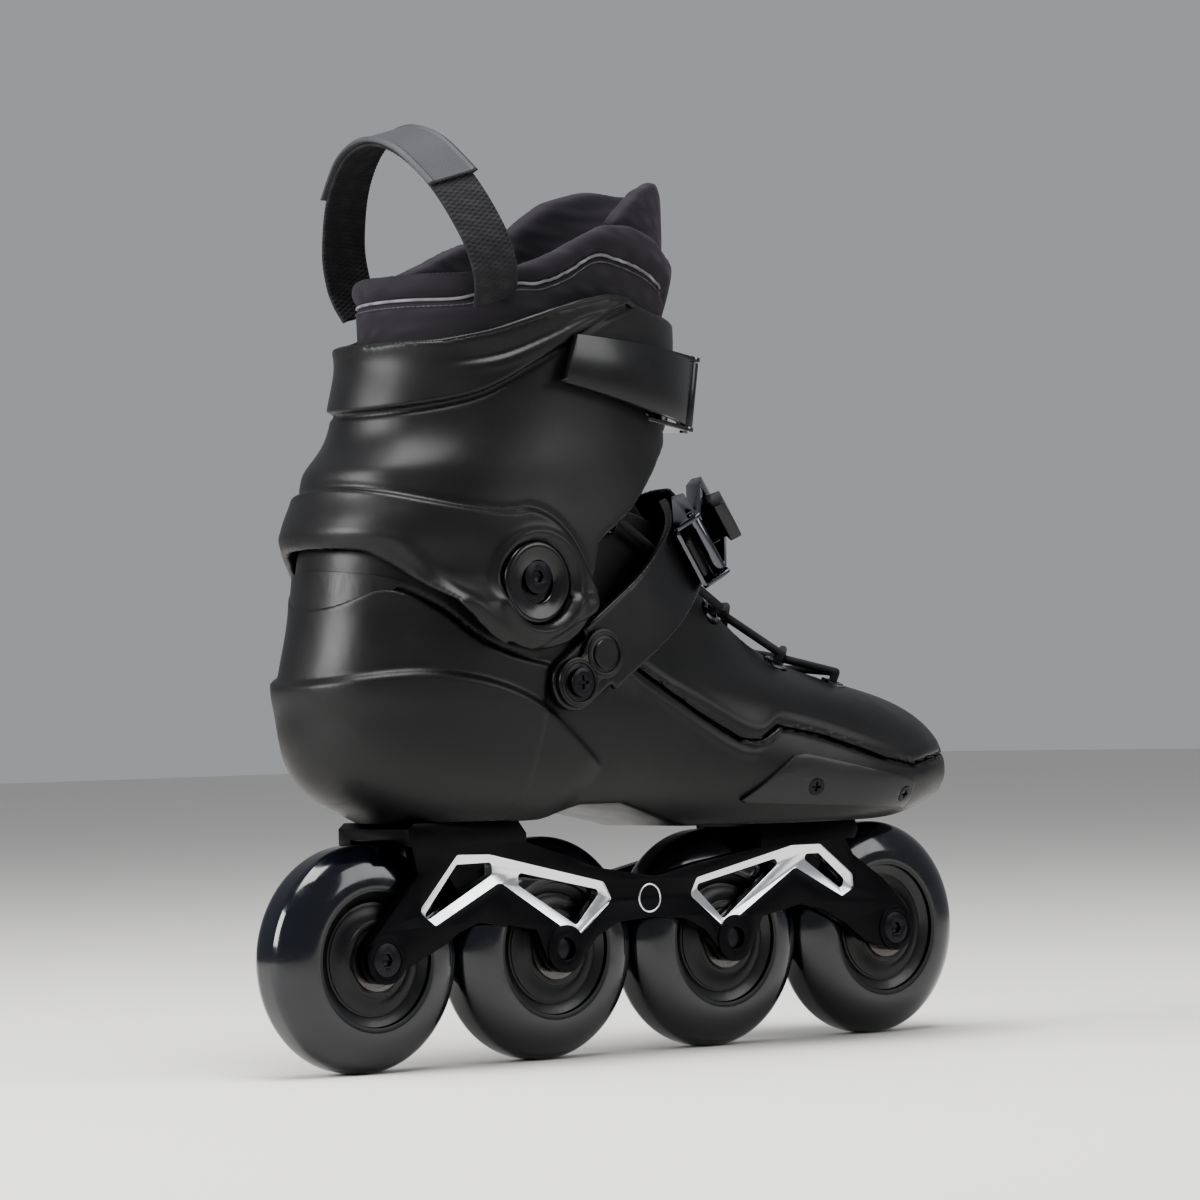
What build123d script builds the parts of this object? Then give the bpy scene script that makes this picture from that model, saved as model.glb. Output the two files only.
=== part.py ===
from build123d import *
import os
from math import copysign, cos, hypot, radians, sin

os.makedirs("parts", exist_ok=True)

# A right-foot inline skate. +X points to the toe, +Y to the inner side of the leg, +Z up.
# The origin is on the ground under the middle of the wheelbase. All sizes are millimetres.

# ---- driving dimensions ----
wheel_count = 4
wheel_diameter = 80.0
wheel_width = 24.0
wheel_pitch = 81.0
axle_z = wheel_diameter / 2
wheel_xs = [(i - (wheel_count - 1) / 2) * wheel_pitch for i in range(wheel_count)]
tread_flat = 3.0
core_r = 20.0

bearing_bore_r = 4.0
bearing_outer_r = 11.0
bearing_width = 7.0
hub_half = wheel_width / 2
spacer_half = hub_half - bearing_width

flange_in = 13.2
flange_out = 17.6
well_r = 42.0
rear_deck_z = 87.0
front_deck_z = 82.0
mount_spacing = 165.0
rear_mount_x = -88.0
front_mount_x = rear_mount_x + mount_spacing

pivot_x = -75.0
pivot_z = 172.0
cap_r = 15.0
cap_drop = 2.2
cuff_wall = 3.0
shell_wall = 3.5
drum_r = 61.0

strap_x = -58.0
strap_z = 134.8
strap_slope = 34.0
strap_in = 43.5
strap_t = 3.2


def side_plane(y):
    """A plane at the given y whose own axes are the model's X and Z."""
    return Plane(origin=(0, y, 0), x_dir=(1, 0, 0), z_dir=(0, -1, 0))


def axle_plane(x):
    """A plane through an axle for turned profiles: its own x is the width, its own y the radius."""
    return Plane(origin=(x, 0, axle_z), x_dir=(0, 1, 0), z_dir=(1, 0, 0))


def turned(x):
    """The axis that a wheel's turned pieces are revolved about."""
    return Axis((x, 0, axle_z), (0, 1, 0))


def offset_path(points, distance):
    """The points of a path moved sideways to its left by a distance."""
    moved = []
    for i, (x, y) in enumerate(points):
        x0, y0 = points[max(i - 1, 0)]
        x1, y1 = points[min(i + 1, len(points) - 1)]
        run = hypot(x1 - x0, y1 - y0)
        moved.append((x - (y1 - y0) / run * distance, y + (x1 - x0) / run * distance))
    return moved


def band(points, thickness):
    """Draw a curved strip in the current sketch: a smooth path and the same path moved to its left."""
    outer = offset_path(points, thickness)
    with BuildLine() as strip:
        Spline(*points)
        Line(points[-1], outer[-1])
        Spline(*reversed(outer))
        Line(outer[0], points[0])
    make_face(strip.edges())


# ---- the boot's body: horizontal sections from the sole to the ankle ----
# z, back x, front x, half-widths at the heel, waist, ball and toe, sideways place of the toe tip
foot_sections = [
    (82, -104, 132, 20, 22, 40, 20, 8),
    (87, -113, 147, 27, 29, 47, 28, 8),
    (94, -127, 154, 34, 36, 50.5, 33, 8),
    (104, -138.5, 154.6, 38, 39, 50.5, 34, 8),
    (114, -142.4, 150, 39, 40, 47, 31, 7),
    (124, -143.2, 136, 39.5, 40.5, 41, 25, 5),
    (134, -144.2, 101, 39.5, 41, 34, 19, 3),
    (146, -141.5, 68, 39.5, 41, 29, 15, 1),
    (160, -137.8, 48, 39.5, 41, 28, 15, 0),
    (175, -135.8, 32, 39, 40.5, 29, 16, 0),
    (190, -132, 17, 38, 39.5, 30, 17, 0),
    (206, -127, 4, 36, 38, 30, 18, 0),
]


def foot_outline(back, front, heel, waist, ball, toe, tip):
    """The points of one horizontal section, from the back round the outer side."""
    length = front - back
    outer_side = [
        (back + 12, -0.67 * heel),
        (back + 40, -heel),
        (back + 0.46 * length, -waist),
        (back + 0.72 * length, -ball),
        (back + 0.92 * length, -toe),
    ]
    inner_side = [
        (back + 0.95 * length, toe + tip / 2),
        (back + 0.76 * length, ball),
        (back + 0.46 * length, waist),
        (back + 40, heel),
        (back + 12, 0.67 * heel),
    ]
    return [(back, 0)] + outer_side + [(front, tip)] + inner_side


def foot_solid(inset, top=206):
    """The boot's body moved in by a distance; its top is flat, and above the slope it moves down too."""
    with BuildPart() as body:
        for z, back, front, heel, waist, ball, toe, tip in foot_sections:
            drop = inset * min(max((z - 94) / 40, 0), 1)
            with BuildSketch(Plane.XY.offset(z - drop)):
                with BuildLine():
                    edge = foot_outline(back + inset, front - inset, heel - inset, waist - inset,
                                        ball - inset, toe - inset, tip)
                    Spline(*edge, periodic=True)
                make_face()
        if inset > 0:
            with BuildSketch(Plane.XY.offset(top + 8)):
                with BuildLine():
                    Spline(*edge, periodic=True)
                make_face()
        loft()
    return body.part


def surface(body, origin, direction):
    """Where a line first meets a body, and the outward normal there."""
    hits = body.find_intersection_points(Axis(origin, direction))
    start = Vector(*origin)
    return min(hits, key=lambda hit: (hit[0] - start).length)


foot_outer = foot_solid(0)
foot_cavity = foot_solid(shell_wall)

# The sole's underside: heel seat, arch and forefoot; and the top line of the boot's body.
boot_side = [(-150, 87), (-60, 87), (-46, 91.5), (-26, 91.5), (12, 82), (160, 82),
             (160, 188), (12, 192), (-30, 199), (-60, 199), (-150, 189)]
inner_floor = [(-150, 94), (-52, 95), (10, 88.5), (160, 88.5), (160, 230), (-150, 230)]

# The upper panel of the forefoot, above a groove that runs from the ankle to the toe.
vamp_side = [(-62, 230), (-48, 166), (-24, 142), (5, 123.7), (24, 113.2), (33, 112.6), (41.5, 117.4),
             (59, 114), (88, 105), (106, 101.8), (118, 103.5), (170, 107), (170, 230)]
throat_top = [(103, -6), (103, 6), (92, 8.5), (25, 12), (-34, 20), (-34, -20), (25, -12), (92, -8.5)]
ankle_eyelet = (-28, 192)
eyelet_rows = [33.5, 65.2, 93.8]
eyelet_y = 15.0
eyelet_r = 4.4
eyelet_hole_r = 2.5

eyelet_places = []
for side in (-1, 1):
    for x in eyelet_rows:
        eyelet_places.append(surface(foot_outer, (x, side * eyelet_y, 300), (0, 0, -1)))
    eyelet_places.append(surface(foot_outer, (ankle_eyelet[0], side * 200, ankle_eyelet[1]), (0, -side, 0)))

slider_side = [(25, 91), (44.5, 106.8), (49, 107.2), (102, 95.8), (102, 86), (27, 90)]
slider_t = 1.8
slider_outer = foot_solid(-slider_t)
slider_screw_places = []
for side in (-1, 1):
    for x, z in ((53, 95), (97, 91)):
        slider_screw_places.append(surface(slider_outer, (x, side * 200, z), (0, -side, 0)))

# ---- the hollow that the liner fills, and the liner's own hollow ----
def floored(body, lift):
    """Part of a hollow above the inner floor, which may be lifted."""
    with BuildPart() as cut:
        add(body)
        with BuildSketch(side_plane(0)):
            Polygon(*[(x, z + lift) for x, z in inner_floor], align=None)
        extrude(amount=80, both=True, mode=Mode.INTERSECT)
    return cut.part


def region(points, reach=120):
    """A slab across the whole boot whose side view is the given outline."""
    with BuildPart() as slab:
        with BuildSketch(side_plane(0)):
            Polygon(*points, align=None)
        extrude(amount=reach, both=True)
    return slab.part


hollow = floored(foot_cavity, 0)
liner_room = floored(foot_solid(shell_wall + 0.5), 3.2)
foot_room = floored(foot_solid(shell_wall + 4.5), 6.2)
vamp_region = region(vamp_side)

def screw_hole(place, normal):
    """A round plug along a screw's axis, long enough to pass through the shell's wall."""
    with BuildPart() as plug:
        with BuildSketch(Plane(origin=place - normal * 9, z_dir=normal)):
            Circle(2.0)
        extrude(amount=10)
    return plug.part


slider_holes = [screw_hole(place, normal) for place, normal in slider_screw_places]

# ---- shell: heel cup, sole and toe box ----
with BuildPart() as shell:
    add(foot_outer)
    with BuildSketch(side_plane(0)):
        Polygon(*boot_side, align=None)
    extrude(amount=80, both=True, mode=Mode.INTERSECT)
    # Behind and above the pivot the shell turns inside the cuff, so it is a drum about the pivot.
    with BuildSketch(side_plane(80)):
        Polygon((-200, 176), (pivot_x, 176), (pivot_x, 240), (-200, 240), align=None)
        with Locations((pivot_x, pivot_z)):
            Circle(drum_r, mode=Mode.SUBTRACT)
    extrude(amount=160, mode=Mode.SUBTRACT)
    # Bosses that carry the cuff pivots and the ends of the instep strap.
    for side in (-1, 1):
        with BuildSketch(side_plane(side * 34)):
            with Locations((pivot_x, pivot_z)):
                Circle(12)
        extrude(amount=-side * 9.6)
        with BuildSketch(side_plane(side * 36)):
            with Locations((strap_x, strap_z)):
                Circle(8)
        extrude(amount=-side * 7.2)
    add(hollow, mode=Mode.SUBTRACT)
    add(vamp_region, mode=Mode.SUBTRACT)
    # Holes for the nuts and bolts of the pivots, the strap screws and the two frame bolts.
    for side in (-1, 1):
        with BuildSketch(side_plane(side * 30)):
            with Locations((pivot_x, pivot_z)):
                Circle(4)
        extrude(amount=-side * 20, mode=Mode.SUBTRACT)
        with BuildSketch(side_plane(side * 30)):
            with Locations((pivot_x, pivot_z)):
                Circle(7)
        extrude(amount=-side * 10.0, mode=Mode.SUBTRACT)
        with BuildSketch(side_plane(side * 30)):
            with Locations((strap_x, strap_z)):
                Circle(2.5)
        extrude(amount=-side * 20, mode=Mode.SUBTRACT)
    with BuildSketch(Plane.XY.offset(70)):
        with Locations((rear_mount_x, 0), (front_mount_x, 0)):
            Circle(4)
    extrude(amount=40, mode=Mode.SUBTRACT)
    for hole in slider_holes:
        add(hole, mode=Mode.SUBTRACT)
shell.part.label = "shell"
export_step(shell.part, "parts/shell.step")

# ---- vamp: the upper panel of the forefoot and ankle, open along the laces ----
with BuildPart() as vamp:
    add(foot_outer)
    with BuildSketch(side_plane(0)):
        Polygon(*boot_side, align=None)
    extrude(amount=80, both=True, mode=Mode.INTERSECT)
    add(vamp_region, mode=Mode.INTERSECT)
    add(hollow, mode=Mode.SUBTRACT)
    with BuildSketch(Plane.XY.offset(112)):
        Polygon(*throat_top, align=None)
    extrude(amount=120, mode=Mode.SUBTRACT)
    for place, normal in eyelet_places:
        with BuildSketch(Plane(origin=place, z_dir=normal)):
            Circle(eyelet_r)
        extrude(amount=6, both=True, mode=Mode.SUBTRACT)
vamp.part.label = "vamp"
export_step(vamp.part, "parts/vamp.step")

# ---- eyelets: rings let into the vamp ----
with BuildPart() as eyelets:
    for place, normal in eyelet_places:
        with BuildSketch(Plane(origin=place - normal * 2.2, z_dir=normal)):
            Circle(eyelet_r)
            Circle(eyelet_hole_r, mode=Mode.SUBTRACT)
        extrude(amount=3.2)
eyelets.part.label = "eyelets"
export_step(eyelets.part, "parts/eyelets.step")

# ---- tongue, lower part: the pad under the laces ----
throat_pad = [(101, -5), (101, 5), (91, 6.5), (25, 9.5), (-20, 17), (-20, -17), (25, -9.5), (91, -6.5)]
tongue_outer = foot_solid(1.0)
tongue_under = foot_solid(shell_wall + 0.4)
with BuildPart() as tongue_base:
    add(tongue_outer)
    with BuildSketch(side_plane(0)):
        Polygon((-20, 110), (120, 110), (120, 203), (-20, 203), align=None)
    extrude(amount=80, both=True, mode=Mode.INTERSECT)
    with BuildSketch(Plane.XY.offset(112)):
        Polygon(*throat_pad, align=None)
    extrude(amount=120, mode=Mode.INTERSECT)
    add(tongue_under, mode=Mode.SUBTRACT)
tongue_base.part.label = "tongue_base"
export_step(tongue_base.part, "parts/tongue_base.step")

# ---- liner, foot part: a padded sock inside the shell ----
with BuildPart() as liner_foot:
    add(liner_room)
    with BuildSketch(side_plane(0)):
        Polygon((-150, 80), (170, 80), (170, 150), (20, 192), (-40, 196), (-150, 182), align=None)
    extrude(amount=80, both=True, mode=Mode.INTERSECT)
    add(foot_room, mode=Mode.SUBTRACT)
    # Shallow pockets over the pivot nuts.
    for side in (-1, 1):
        with BuildSketch(side_plane(side * 36.2)):
            with Locations((pivot_x, pivot_z)):
                Circle(7.6)
        extrude(amount=-side * 8, mode=Mode.SUBTRACT)
liner_foot.part.label = "liner_foot"
export_step(liner_foot.part, "parts/liner_foot.step")

# ---- footbed and heel shock absorber ----
footbed_room = floored(foot_solid(shell_wall + 5.0), 6.4)
with BuildPart() as footbed:
    add(footbed_room)
    with BuildSketch(side_plane(0)):
        Polygon((-150, 80), (170, 80), (170, 97), (10, 97.5), (-52, 104.5), (-150, 104.5), align=None)
    extrude(amount=80, both=True, mode=Mode.INTERSECT)
footbed.part.label = "footbed"
export_step(footbed.part, "parts/footbed.step")

with BuildPart() as shock_absorber:
    with BuildSketch(Plane.XY.offset(95.2)):
        with Locations((-91, 0)):
            SlotOverall(58, 40)
    extrude(amount=1.8)
    with BuildSketch(Plane.XY.offset(95.2)):
        with Locations((rear_mount_x, 0)):
            Circle(9)
    extrude(amount=1.8, mode=Mode.SUBTRACT)
shock_absorber.part.label = "shock_absorber"
export_step(shock_absorber.part, "parts/shock_absorber.step")

# ---- toe sliders: replaceable wear plates on both sides of the forefoot ----
for side, name in ((-1, "toe_slider_outer"), (1, "toe_slider_inner")):
    with BuildPart() as slider:
        add(slider_outer)
        with BuildSketch(side_plane(0)):
            Polygon(*slider_side, align=None)
        extrude(amount=-side * 80, mode=Mode.INTERSECT)
        add(foot_outer, mode=Mode.SUBTRACT)
        for place, normal in slider_screw_places:
            with BuildSketch(Plane(origin=place, z_dir=normal)):
                Circle(3.2)
            extrude(amount=4, both=True, mode=Mode.SUBTRACT)
    slider.part.label = name
    export_step(slider.part, f"parts/{name}.step")


def cross(size, width):
    """Draw a cross recess in the current sketch."""
    Rectangle(size, width, mode=Mode.SUBTRACT)
    Rectangle(width, size, mode=Mode.SUBTRACT)


with BuildPart() as slider_screws:
    for place, normal in slider_screw_places:
        with BuildSketch(Plane(origin=place - normal * 1.2, z_dir=normal)):
            Circle(3.1)
            cross(3.4, 0.8)
        extrude(amount=1.2)
        with BuildSketch(Plane(origin=place - normal * 1.2, z_dir=normal)):
            Circle(1.6)
        extrude(amount=-3.3)
slider_screws.part.label = "slider_screws"
export_step(slider_screws.part, "parts/slider_screws.step")

# ---- heel badge: a leaf-shaped plate wrapped round the back of the heel ----
badge_skin = foot_solid(-1.0)
with BuildPart() as heel_badge:
    add(badge_skin)
    with BuildSketch(side_plane(0)):
        Polygon((-160, 157), (-160, 176), (-137, 175.6), (-120, 171), (-134, 161), (-143, 157),
                align=None)
    extrude(amount=80, both=True, mode=Mode.INTERSECT)
    add(foot_outer, mode=Mode.SUBTRACT)
heel_badge.part.label = "heel_badge"
export_step(heel_badge.part, "parts/heel_badge.step")


# ---- nuts inside the shell, one for each cuff pivot ----
with BuildPart() as pivot_nuts:
    for side in (-1, 1):
        with BuildSketch(side_plane(side * 37.2)):
            with Locations((pivot_x, pivot_z)):
                Circle(6.9)
                Circle(4, mode=Mode.SUBTRACT)
        extrude(amount=-side * 2.7)
pivot_nuts.part.label = "pivot_nuts"
export_step(pivot_nuts.part, "parts/pivot_nuts.step")

# ---- cuff: the ankle shell, a ring cut to its side view ----
# z, back x, front x, half-width, squareness (1 is an ellipse, less is squarer)
cuff_sections = [
    (138, -139, 30, 47.8, 0.82),
    (172, -139, 26, 48, 0.82),
    (186, -138.4, 22, 47.8, 0.82),
    (192, -137, 20, 47.5, 0.82),
    (200, -132.8, 18, 47, 0.84),
    (210, -130.2, 16, 46.6, 0.88),
    (220, -122, 14, 46, 0.92),
    (231, -119.2, 15, 45.6, 1),
    (244, -116.2, 18, 46, 1),
    (256, -117.4, 20.5, 47, 1),
    (274, -117.4, 23, 47.6, 1),
]
cuff_top = [(-150, 140), (-150, 253), (-101, 254.5), (-84, 258), (-60, 266), (-41, 270.5),
            (-26, 269.5), (-10, 266.5), (40, 262), (40, 140)]
cuff_front_cut = [(60, 226), (10, 226), (-8, 214), (-28, 196), (-46, 184), (-49, pivot_z), (-49, 120),
                  (60, 120)]
cuff_rear_cut = [(-160, 187), (-131, 182.5), (-121, 174.5), (-108, 160.5), (-96, 150.5), (-90, 147.5),
                 (-90, 120), (-160, 120)]
yoke_r = 26.4


def squared(value, power):
    """A sine or cosine raised to a power with its sign kept, which squares off an oval."""
    return copysign(abs(value) ** power, value) if abs(value) > 1e-9 else 0


def oval_solid(sections, inset, extra=0):
    """A stack of oval sections joined smoothly, moved in by a distance and longer by extra at each end."""
    low = sections[0][0] - extra
    high = sections[-1][0] + extra
    with BuildPart() as body:
        for z, back, front, half, power in sections:
            level = low if z == sections[0][0] else high if z == sections[-1][0] else z
            plane = Plane(origin=((back + front) / 2, 0, level), x_dir=(1, 0, 0), z_dir=(0, 0, 1))
            reach = (front - back) / 2 - inset
            ring = [(reach * squared(cos(radians(a)), power), (half - inset) * squared(sin(radians(a)), power))
                    for a in range(0, 360, 30)]
            with BuildSketch(plane):
                with BuildLine():
                    Spline(*ring, periodic=True)
                make_face()
        loft()
    return body.part


cuff_outer = oval_solid(cuff_sections, 0)
cuff_inner = oval_solid(cuff_sections, cuff_wall, 1)
cuff_keep = region(cuff_top)
cuff_notches = [region(cuff_front_cut), region(cuff_rear_cut)]
cap_z = pivot_z - cap_drop
with BuildPart() as cuff:
    add(cuff_outer)
    add(cuff_keep, mode=Mode.INTERSECT)
    for notch in cuff_notches:
        add(notch, mode=Mode.SUBTRACT)
    # Below the shoulder the yoke ends round the pivot.
    with BuildSketch(side_plane(80)):
        Polygon((-90, 120), (-40, 120), (-40, pivot_z), (-90, pivot_z), align=None)
        with Locations((pivot_x, pivot_z)):
            Circle(yoke_r, mode=Mode.SUBTRACT)
    extrude(amount=160, mode=Mode.SUBTRACT)
    add(cuff_inner, mode=Mode.SUBTRACT)
    with BuildSketch(side_plane(80)):
        with Locations((pivot_x, cap_z)):
            Circle(cap_r + 0.1)
    extrude(amount=160, mode=Mode.SUBTRACT)
    with BuildSketch(Plane.XY.offset(220)):
        Polygon((-20, 5), (60, 5), (60, 7), (-20, 7), align=None)
    extrude(amount=60, mode=Mode.SUBTRACT)
cuff.part.label = "cuff"
export_step(cuff.part, "parts/cuff.step")

# ---- pivot caps and bolts ----
with BuildPart() as pivot_caps:
    for side in (-1, 1):
        with BuildSketch(side_plane(side * 44.0)):
            with Locations((pivot_x, cap_z)):
                Circle(cap_r)
        extrude(amount=-side * 4.6)
        with BuildSketch(side_plane(side * 43)):
            with Locations((pivot_x, pivot_z)):
                Circle(4.05)
        extrude(amount=-side * 8, mode=Mode.SUBTRACT)
        with BuildSketch(side_plane(side * 46.0)):
            with Locations((pivot_x, pivot_z)):
                Circle(6.6)
        extrude(amount=-side * 8, mode=Mode.SUBTRACT)
pivot_caps.part.label = "pivot_caps"
export_step(pivot_caps.part, "parts/pivot_caps.step")

with BuildPart() as pivot_bolts:
    for side in (-1, 1):
        with BuildSketch(side_plane(side * 37.2)):
            with Locations((pivot_x, pivot_z)):
                Circle(4)
        extrude(amount=-side * 9.1)
        with BuildSketch(side_plane(side * 46.3)):
            with Locations((pivot_x, pivot_z)):
                Circle(6.1)
        extrude(amount=-side * 1.9)
        with BuildSketch(side_plane(side * 48.2)):
            with Locations((pivot_x, pivot_z)):
                RegularPolygon(2.3, 6)
        extrude(amount=side * 1.6, mode=Mode.SUBTRACT)
pivot_bolts.part.label = "pivot_bolts"
export_step(pivot_bolts.part, "parts/pivot_bolts.step")

# ---- liner, ankle part, and the tongue's upper part ----
liner_sections = [
    (190, -124, 6, 38, 1),
    (215, -114, 8, 38.5, 1),
    (240, -107, 10.5, 40, 1),
    (258, -105, 13.5, 41, 1),
    (278, -105, 20, 42, 1),
    (302, -101, 20, 42, 1),
]
liner_above = [(-140, 278), (-85, 279), (-70, 281), (-57, 287), (-45, 293), (-35, 297), (-22, 297),
               (-8, 294), (5, 288), (40, 280), (40, 320), (-140, 320)]
liner_below = [(-140, 195), (40, 228), (40, 180), (-140, 180)]
liner_wall = 7.0
tongue_wall = 8.0
tongue_sections = [
    (215, -100, 7, 30, 1),
    (250, -90, 13.5, 32, 1),
    (285, -90, 19, 33.5, 1),
    (320, -86, 20, 33.5, 1),
]
tongue_rear = [(-120, 200), (-24, 200), (-24, 300), (-8, 312), (8, 317.5), (40, 317.5), (40, 340), (-120, 340)]
tongue_below = [(-120, 226), (40, 226), (40, 200), (-120, 200)]
liner_body = oval_solid(liner_sections, 0)
liner_trims = [region(liner_above), region(liner_below), oval_solid(liner_sections, liner_wall, 1)]
with BuildPart() as liner_cuff:
    add(liner_body)
    for trim in liner_trims:
        add(trim, mode=Mode.SUBTRACT)
    with BuildSketch(Plane.XY.offset(180)):
        Polygon((-14, -10), (60, -24), (60, 24), (-14, 10), align=None)
    extrude(amount=140, mode=Mode.SUBTRACT)
liner_cuff.part.label = "liner_cuff"
export_step(liner_cuff.part, "parts/liner_cuff.step")

tongue_body = oval_solid(tongue_sections, 0)
tongue_trims = [region(tongue_rear), region(tongue_below), oval_solid(tongue_sections, tongue_wall, 1)]
with BuildPart() as tongue_top:
    add(tongue_body)
    for trim in tongue_trims:
        add(trim, mode=Mode.SUBTRACT)
    add(liner_cuff.part, mode=Mode.SUBTRACT)
tongue_top.part.label = "tongue_top"
export_step(tongue_top.part, "parts/tongue_top.step")

# ---- pull loop: a webbing handle across the back of the liner, with a rubber label at its top ----
loop_lean = 15.7
loop_width = 20.0
loop_plane = Plane(
    origin=(-84, 0, 272),
    x_dir=(0, 1, 0),
    z_dir=(cos(radians(loop_lean)), 0, sin(radians(loop_lean))),
)
loop_path = [(-42.6, -8), (-42.4, 2), (-39, 20), (-29, 40), (-15, 53), (0, 57.5),
             (15, 53), (29, 40), (39, 20), (42.4, 2), (42.6, -8)]
with BuildPart() as pull_loop:
    with BuildSketch(loop_plane):
        band(loop_path, 1.8)
    extrude(amount=loop_width / 2, both=True)
pull_loop.part.label = "pull_loop"
export_step(pull_loop.part, "parts/pull_loop.step")

webbing_t = 1.8
label_gap = 0.25
label_path = [(x, y) for x, y in offset_path(loop_path, webbing_t + label_gap) if abs(x) < 32]
with BuildPart() as pull_label:
    with BuildSketch(loop_plane):
        band(label_path, 1.2)
    extrude(amount=loop_width / 2 + 1.5, both=True)
pull_label.part.label = "pull_label"
export_step(pull_label.part, "parts/pull_label.step")

# ---- cuff buckle: a long lever over the outer side, its bracket, its strap and the rivets ----
buckle_tilt = 9.0
hinge = (10.5, -31.5, 238)
hinge_plane = Plane(
    origin=hinge,
    x_dir=(cos(radians(buckle_tilt)), 0, -sin(radians(buckle_tilt))),
    z_dir=(sin(radians(buckle_tilt)), 0, cos(radians(buckle_tilt))),
)
lever_path = [(-78, -16.6), (-60, -17.2), (-36, -14.6), (-12, -6.6), (-2.4, -1.0)]
lever_t = 2.2
lever_half = 11.6
pin_r = 1.5
barrel_r = 3.0
with BuildPart() as cuff_lever:
    with BuildSketch(hinge_plane):
        band([(x, y) for x, y in reversed(lever_path)], lever_t)
    extrude(amount=lever_half, both=True)
    # The free end is narrower and slanted.
    lever_face = Plane(origin=hinge, x_dir=hinge_plane.x_dir, z_dir=(0, -1, 0))
    with BuildSketch(lever_face):
        Polygon((-90, 30), (-66, 30), (-72, -8), (-77, -10.5), (-90, -10.5), align=None)
        Polygon((-90, -8.0), (-77, -9.4), (-30, -11.7), (-30, -30), (-90, -30), align=None)
        Polygon((-90, 30), (-90, 8.2), (-69, 8.2), (-24, 11.7), (-24, 30), align=None)
    extrude(amount=60, both=True, mode=Mode.SUBTRACT)
    with BuildSketch(hinge_plane):
        Circle(barrel_r)
    extrude(amount=lever_half, both=True)
    with BuildSketch(hinge_plane):
        Circle(pin_r + 0.05)
    extrude(amount=lever_half, both=True, mode=Mode.SUBTRACT)
cuff_lever.part.label = "cuff_lever"
export_step(cuff_lever.part, "parts/cuff_lever.step")

with BuildPart() as cuff_buckle_pin:
    with BuildSketch(hinge_plane):
        Circle(pin_r)
    extrude(amount=14.2, both=True)
cuff_buckle_pin.part.label = "cuff_buckle_pin"
export_step(cuff_buckle_pin.part, "parts/cuff_buckle_pin.step")

ear_in = 12.0
ear_out = 13.6
with BuildPart() as cuff_buckle_base:
    for side in (-1, 1):
        with BuildSketch(hinge_plane.offset(side * ear_in)):
            Polygon((-24, -6), (-3, -3.2), (3.2, -1), (3.2, 2), (0, 12), (-16, 8), align=None)
            Circle(3.4)
            Circle(pin_r, mode=Mode.SUBTRACT)
        extrude(amount=side * (ear_out - ear_in))
    with BuildSketch(hinge_plane):
        Polygon((-24, -6.6), (-12, -1.2), (-3.6, 5.6), (0, 12), (-16, 8), align=None)
    extrude(amount=ear_in, both=True)
    add(cuff_outer, mode=Mode.SUBTRACT)
cuff_buckle_base.part.label = "cuff_buckle_base"
export_step(cuff_buckle_base.part, "parts/cuff_buckle_base.step")

strap_skin = oval_solid(cuff_sections, -2.0)
strap_side = [(-60, 238), (-36, 236), (40, 223), (40, 247), (-36, 262), (-60, 262)]
strap_region = region(strap_side)
with BuildPart() as cuff_strap:
    add(strap_skin)
    add(strap_region, mode=Mode.INTERSECT)
    with BuildSketch(Plane.XY.offset(180)):
        Polygon((-160, -80), (5, -80), (5, 0), (-34, 30), (-34, 80), (-160, 80), align=None)
    extrude(amount=120, mode=Mode.SUBTRACT)
    add(cuff_outer, mode=Mode.SUBTRACT)
    add(cuff_buckle_base.part, mode=Mode.SUBTRACT)
cuff_strap.part.label = "cuff_strap"
export_step(cuff_strap.part, "parts/cuff_strap.step")

rivet_places = [surface(strap_skin, (x, 200, z), (0, -1, 0)) for x, z in ((-28, 255), (-28, 242))]
with BuildPart() as cuff_rivets:
    for place, normal in rivet_places:
        with BuildSketch(Plane(origin=place, z_dir=normal)):
            Circle(3.5)
        extrude(amount=1.2)
    add(strap_skin, mode=Mode.SUBTRACT)
cuff_rivets.part.label = "cuff_rivets"
export_step(cuff_rivets.part, "parts/cuff_rivets.step")

# ---- instep strap: two straps on a plane that slopes up from the screws, joined by a buckle ----
slope = radians(strap_slope)
strap_plane = Plane(
    origin=(strap_x, 0, strap_z),
    x_dir=(cos(slope), 0, sin(slope)),
    z_dir=(-sin(slope), 0, cos(slope)),
)
strap_half = 13.0
outer_path = [(14, -strap_in), (35, -43.3), (50, -41.5), (65, -36), (80, -27.5), (93, -14.5), (98.6, -7)]
ladder_t = 2.0
ladder_path = [(14, strap_in), (35, 43.3), (50, 41.5), (65, 36.5), (80, 29.5), (93, 20), (103, 8),
               (106, -4), (103.3, -12.2), (97, -18.5), (90.6, -24.9), (83, -32.5), (77, -38.5)]
root_r = 10.0
screw_r = 2.5
screw_hole_r = 2.55


def strap_end(side, thickness):
    """The flat round end of a strap, on the outside of the boot, with its screw hole."""
    with BuildPart() as end:
        with BuildSketch(side_plane(side * strap_in)):
            with Locations(Location((strap_x, strap_z), strap_slope)):
                with Locations((8, 0)):
                    SlotCenterToCenter(16, 2 * root_r)
            with Locations((strap_x, strap_z)):
                Circle(screw_hole_r, mode=Mode.SUBTRACT)
        extrude(amount=-side * thickness)
    return end.part


outer_end = strap_end(-1, strap_t)
with BuildPart() as instep_strap_outer:
    with BuildSketch(strap_plane):
        band(list(reversed(outer_path)), strap_t)
    extrude(amount=strap_half, both=True)
    add(outer_end)
instep_strap_outer.part.label = "instep_strap_outer"
export_step(instep_strap_outer.part, "parts/instep_strap_outer.step")

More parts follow.
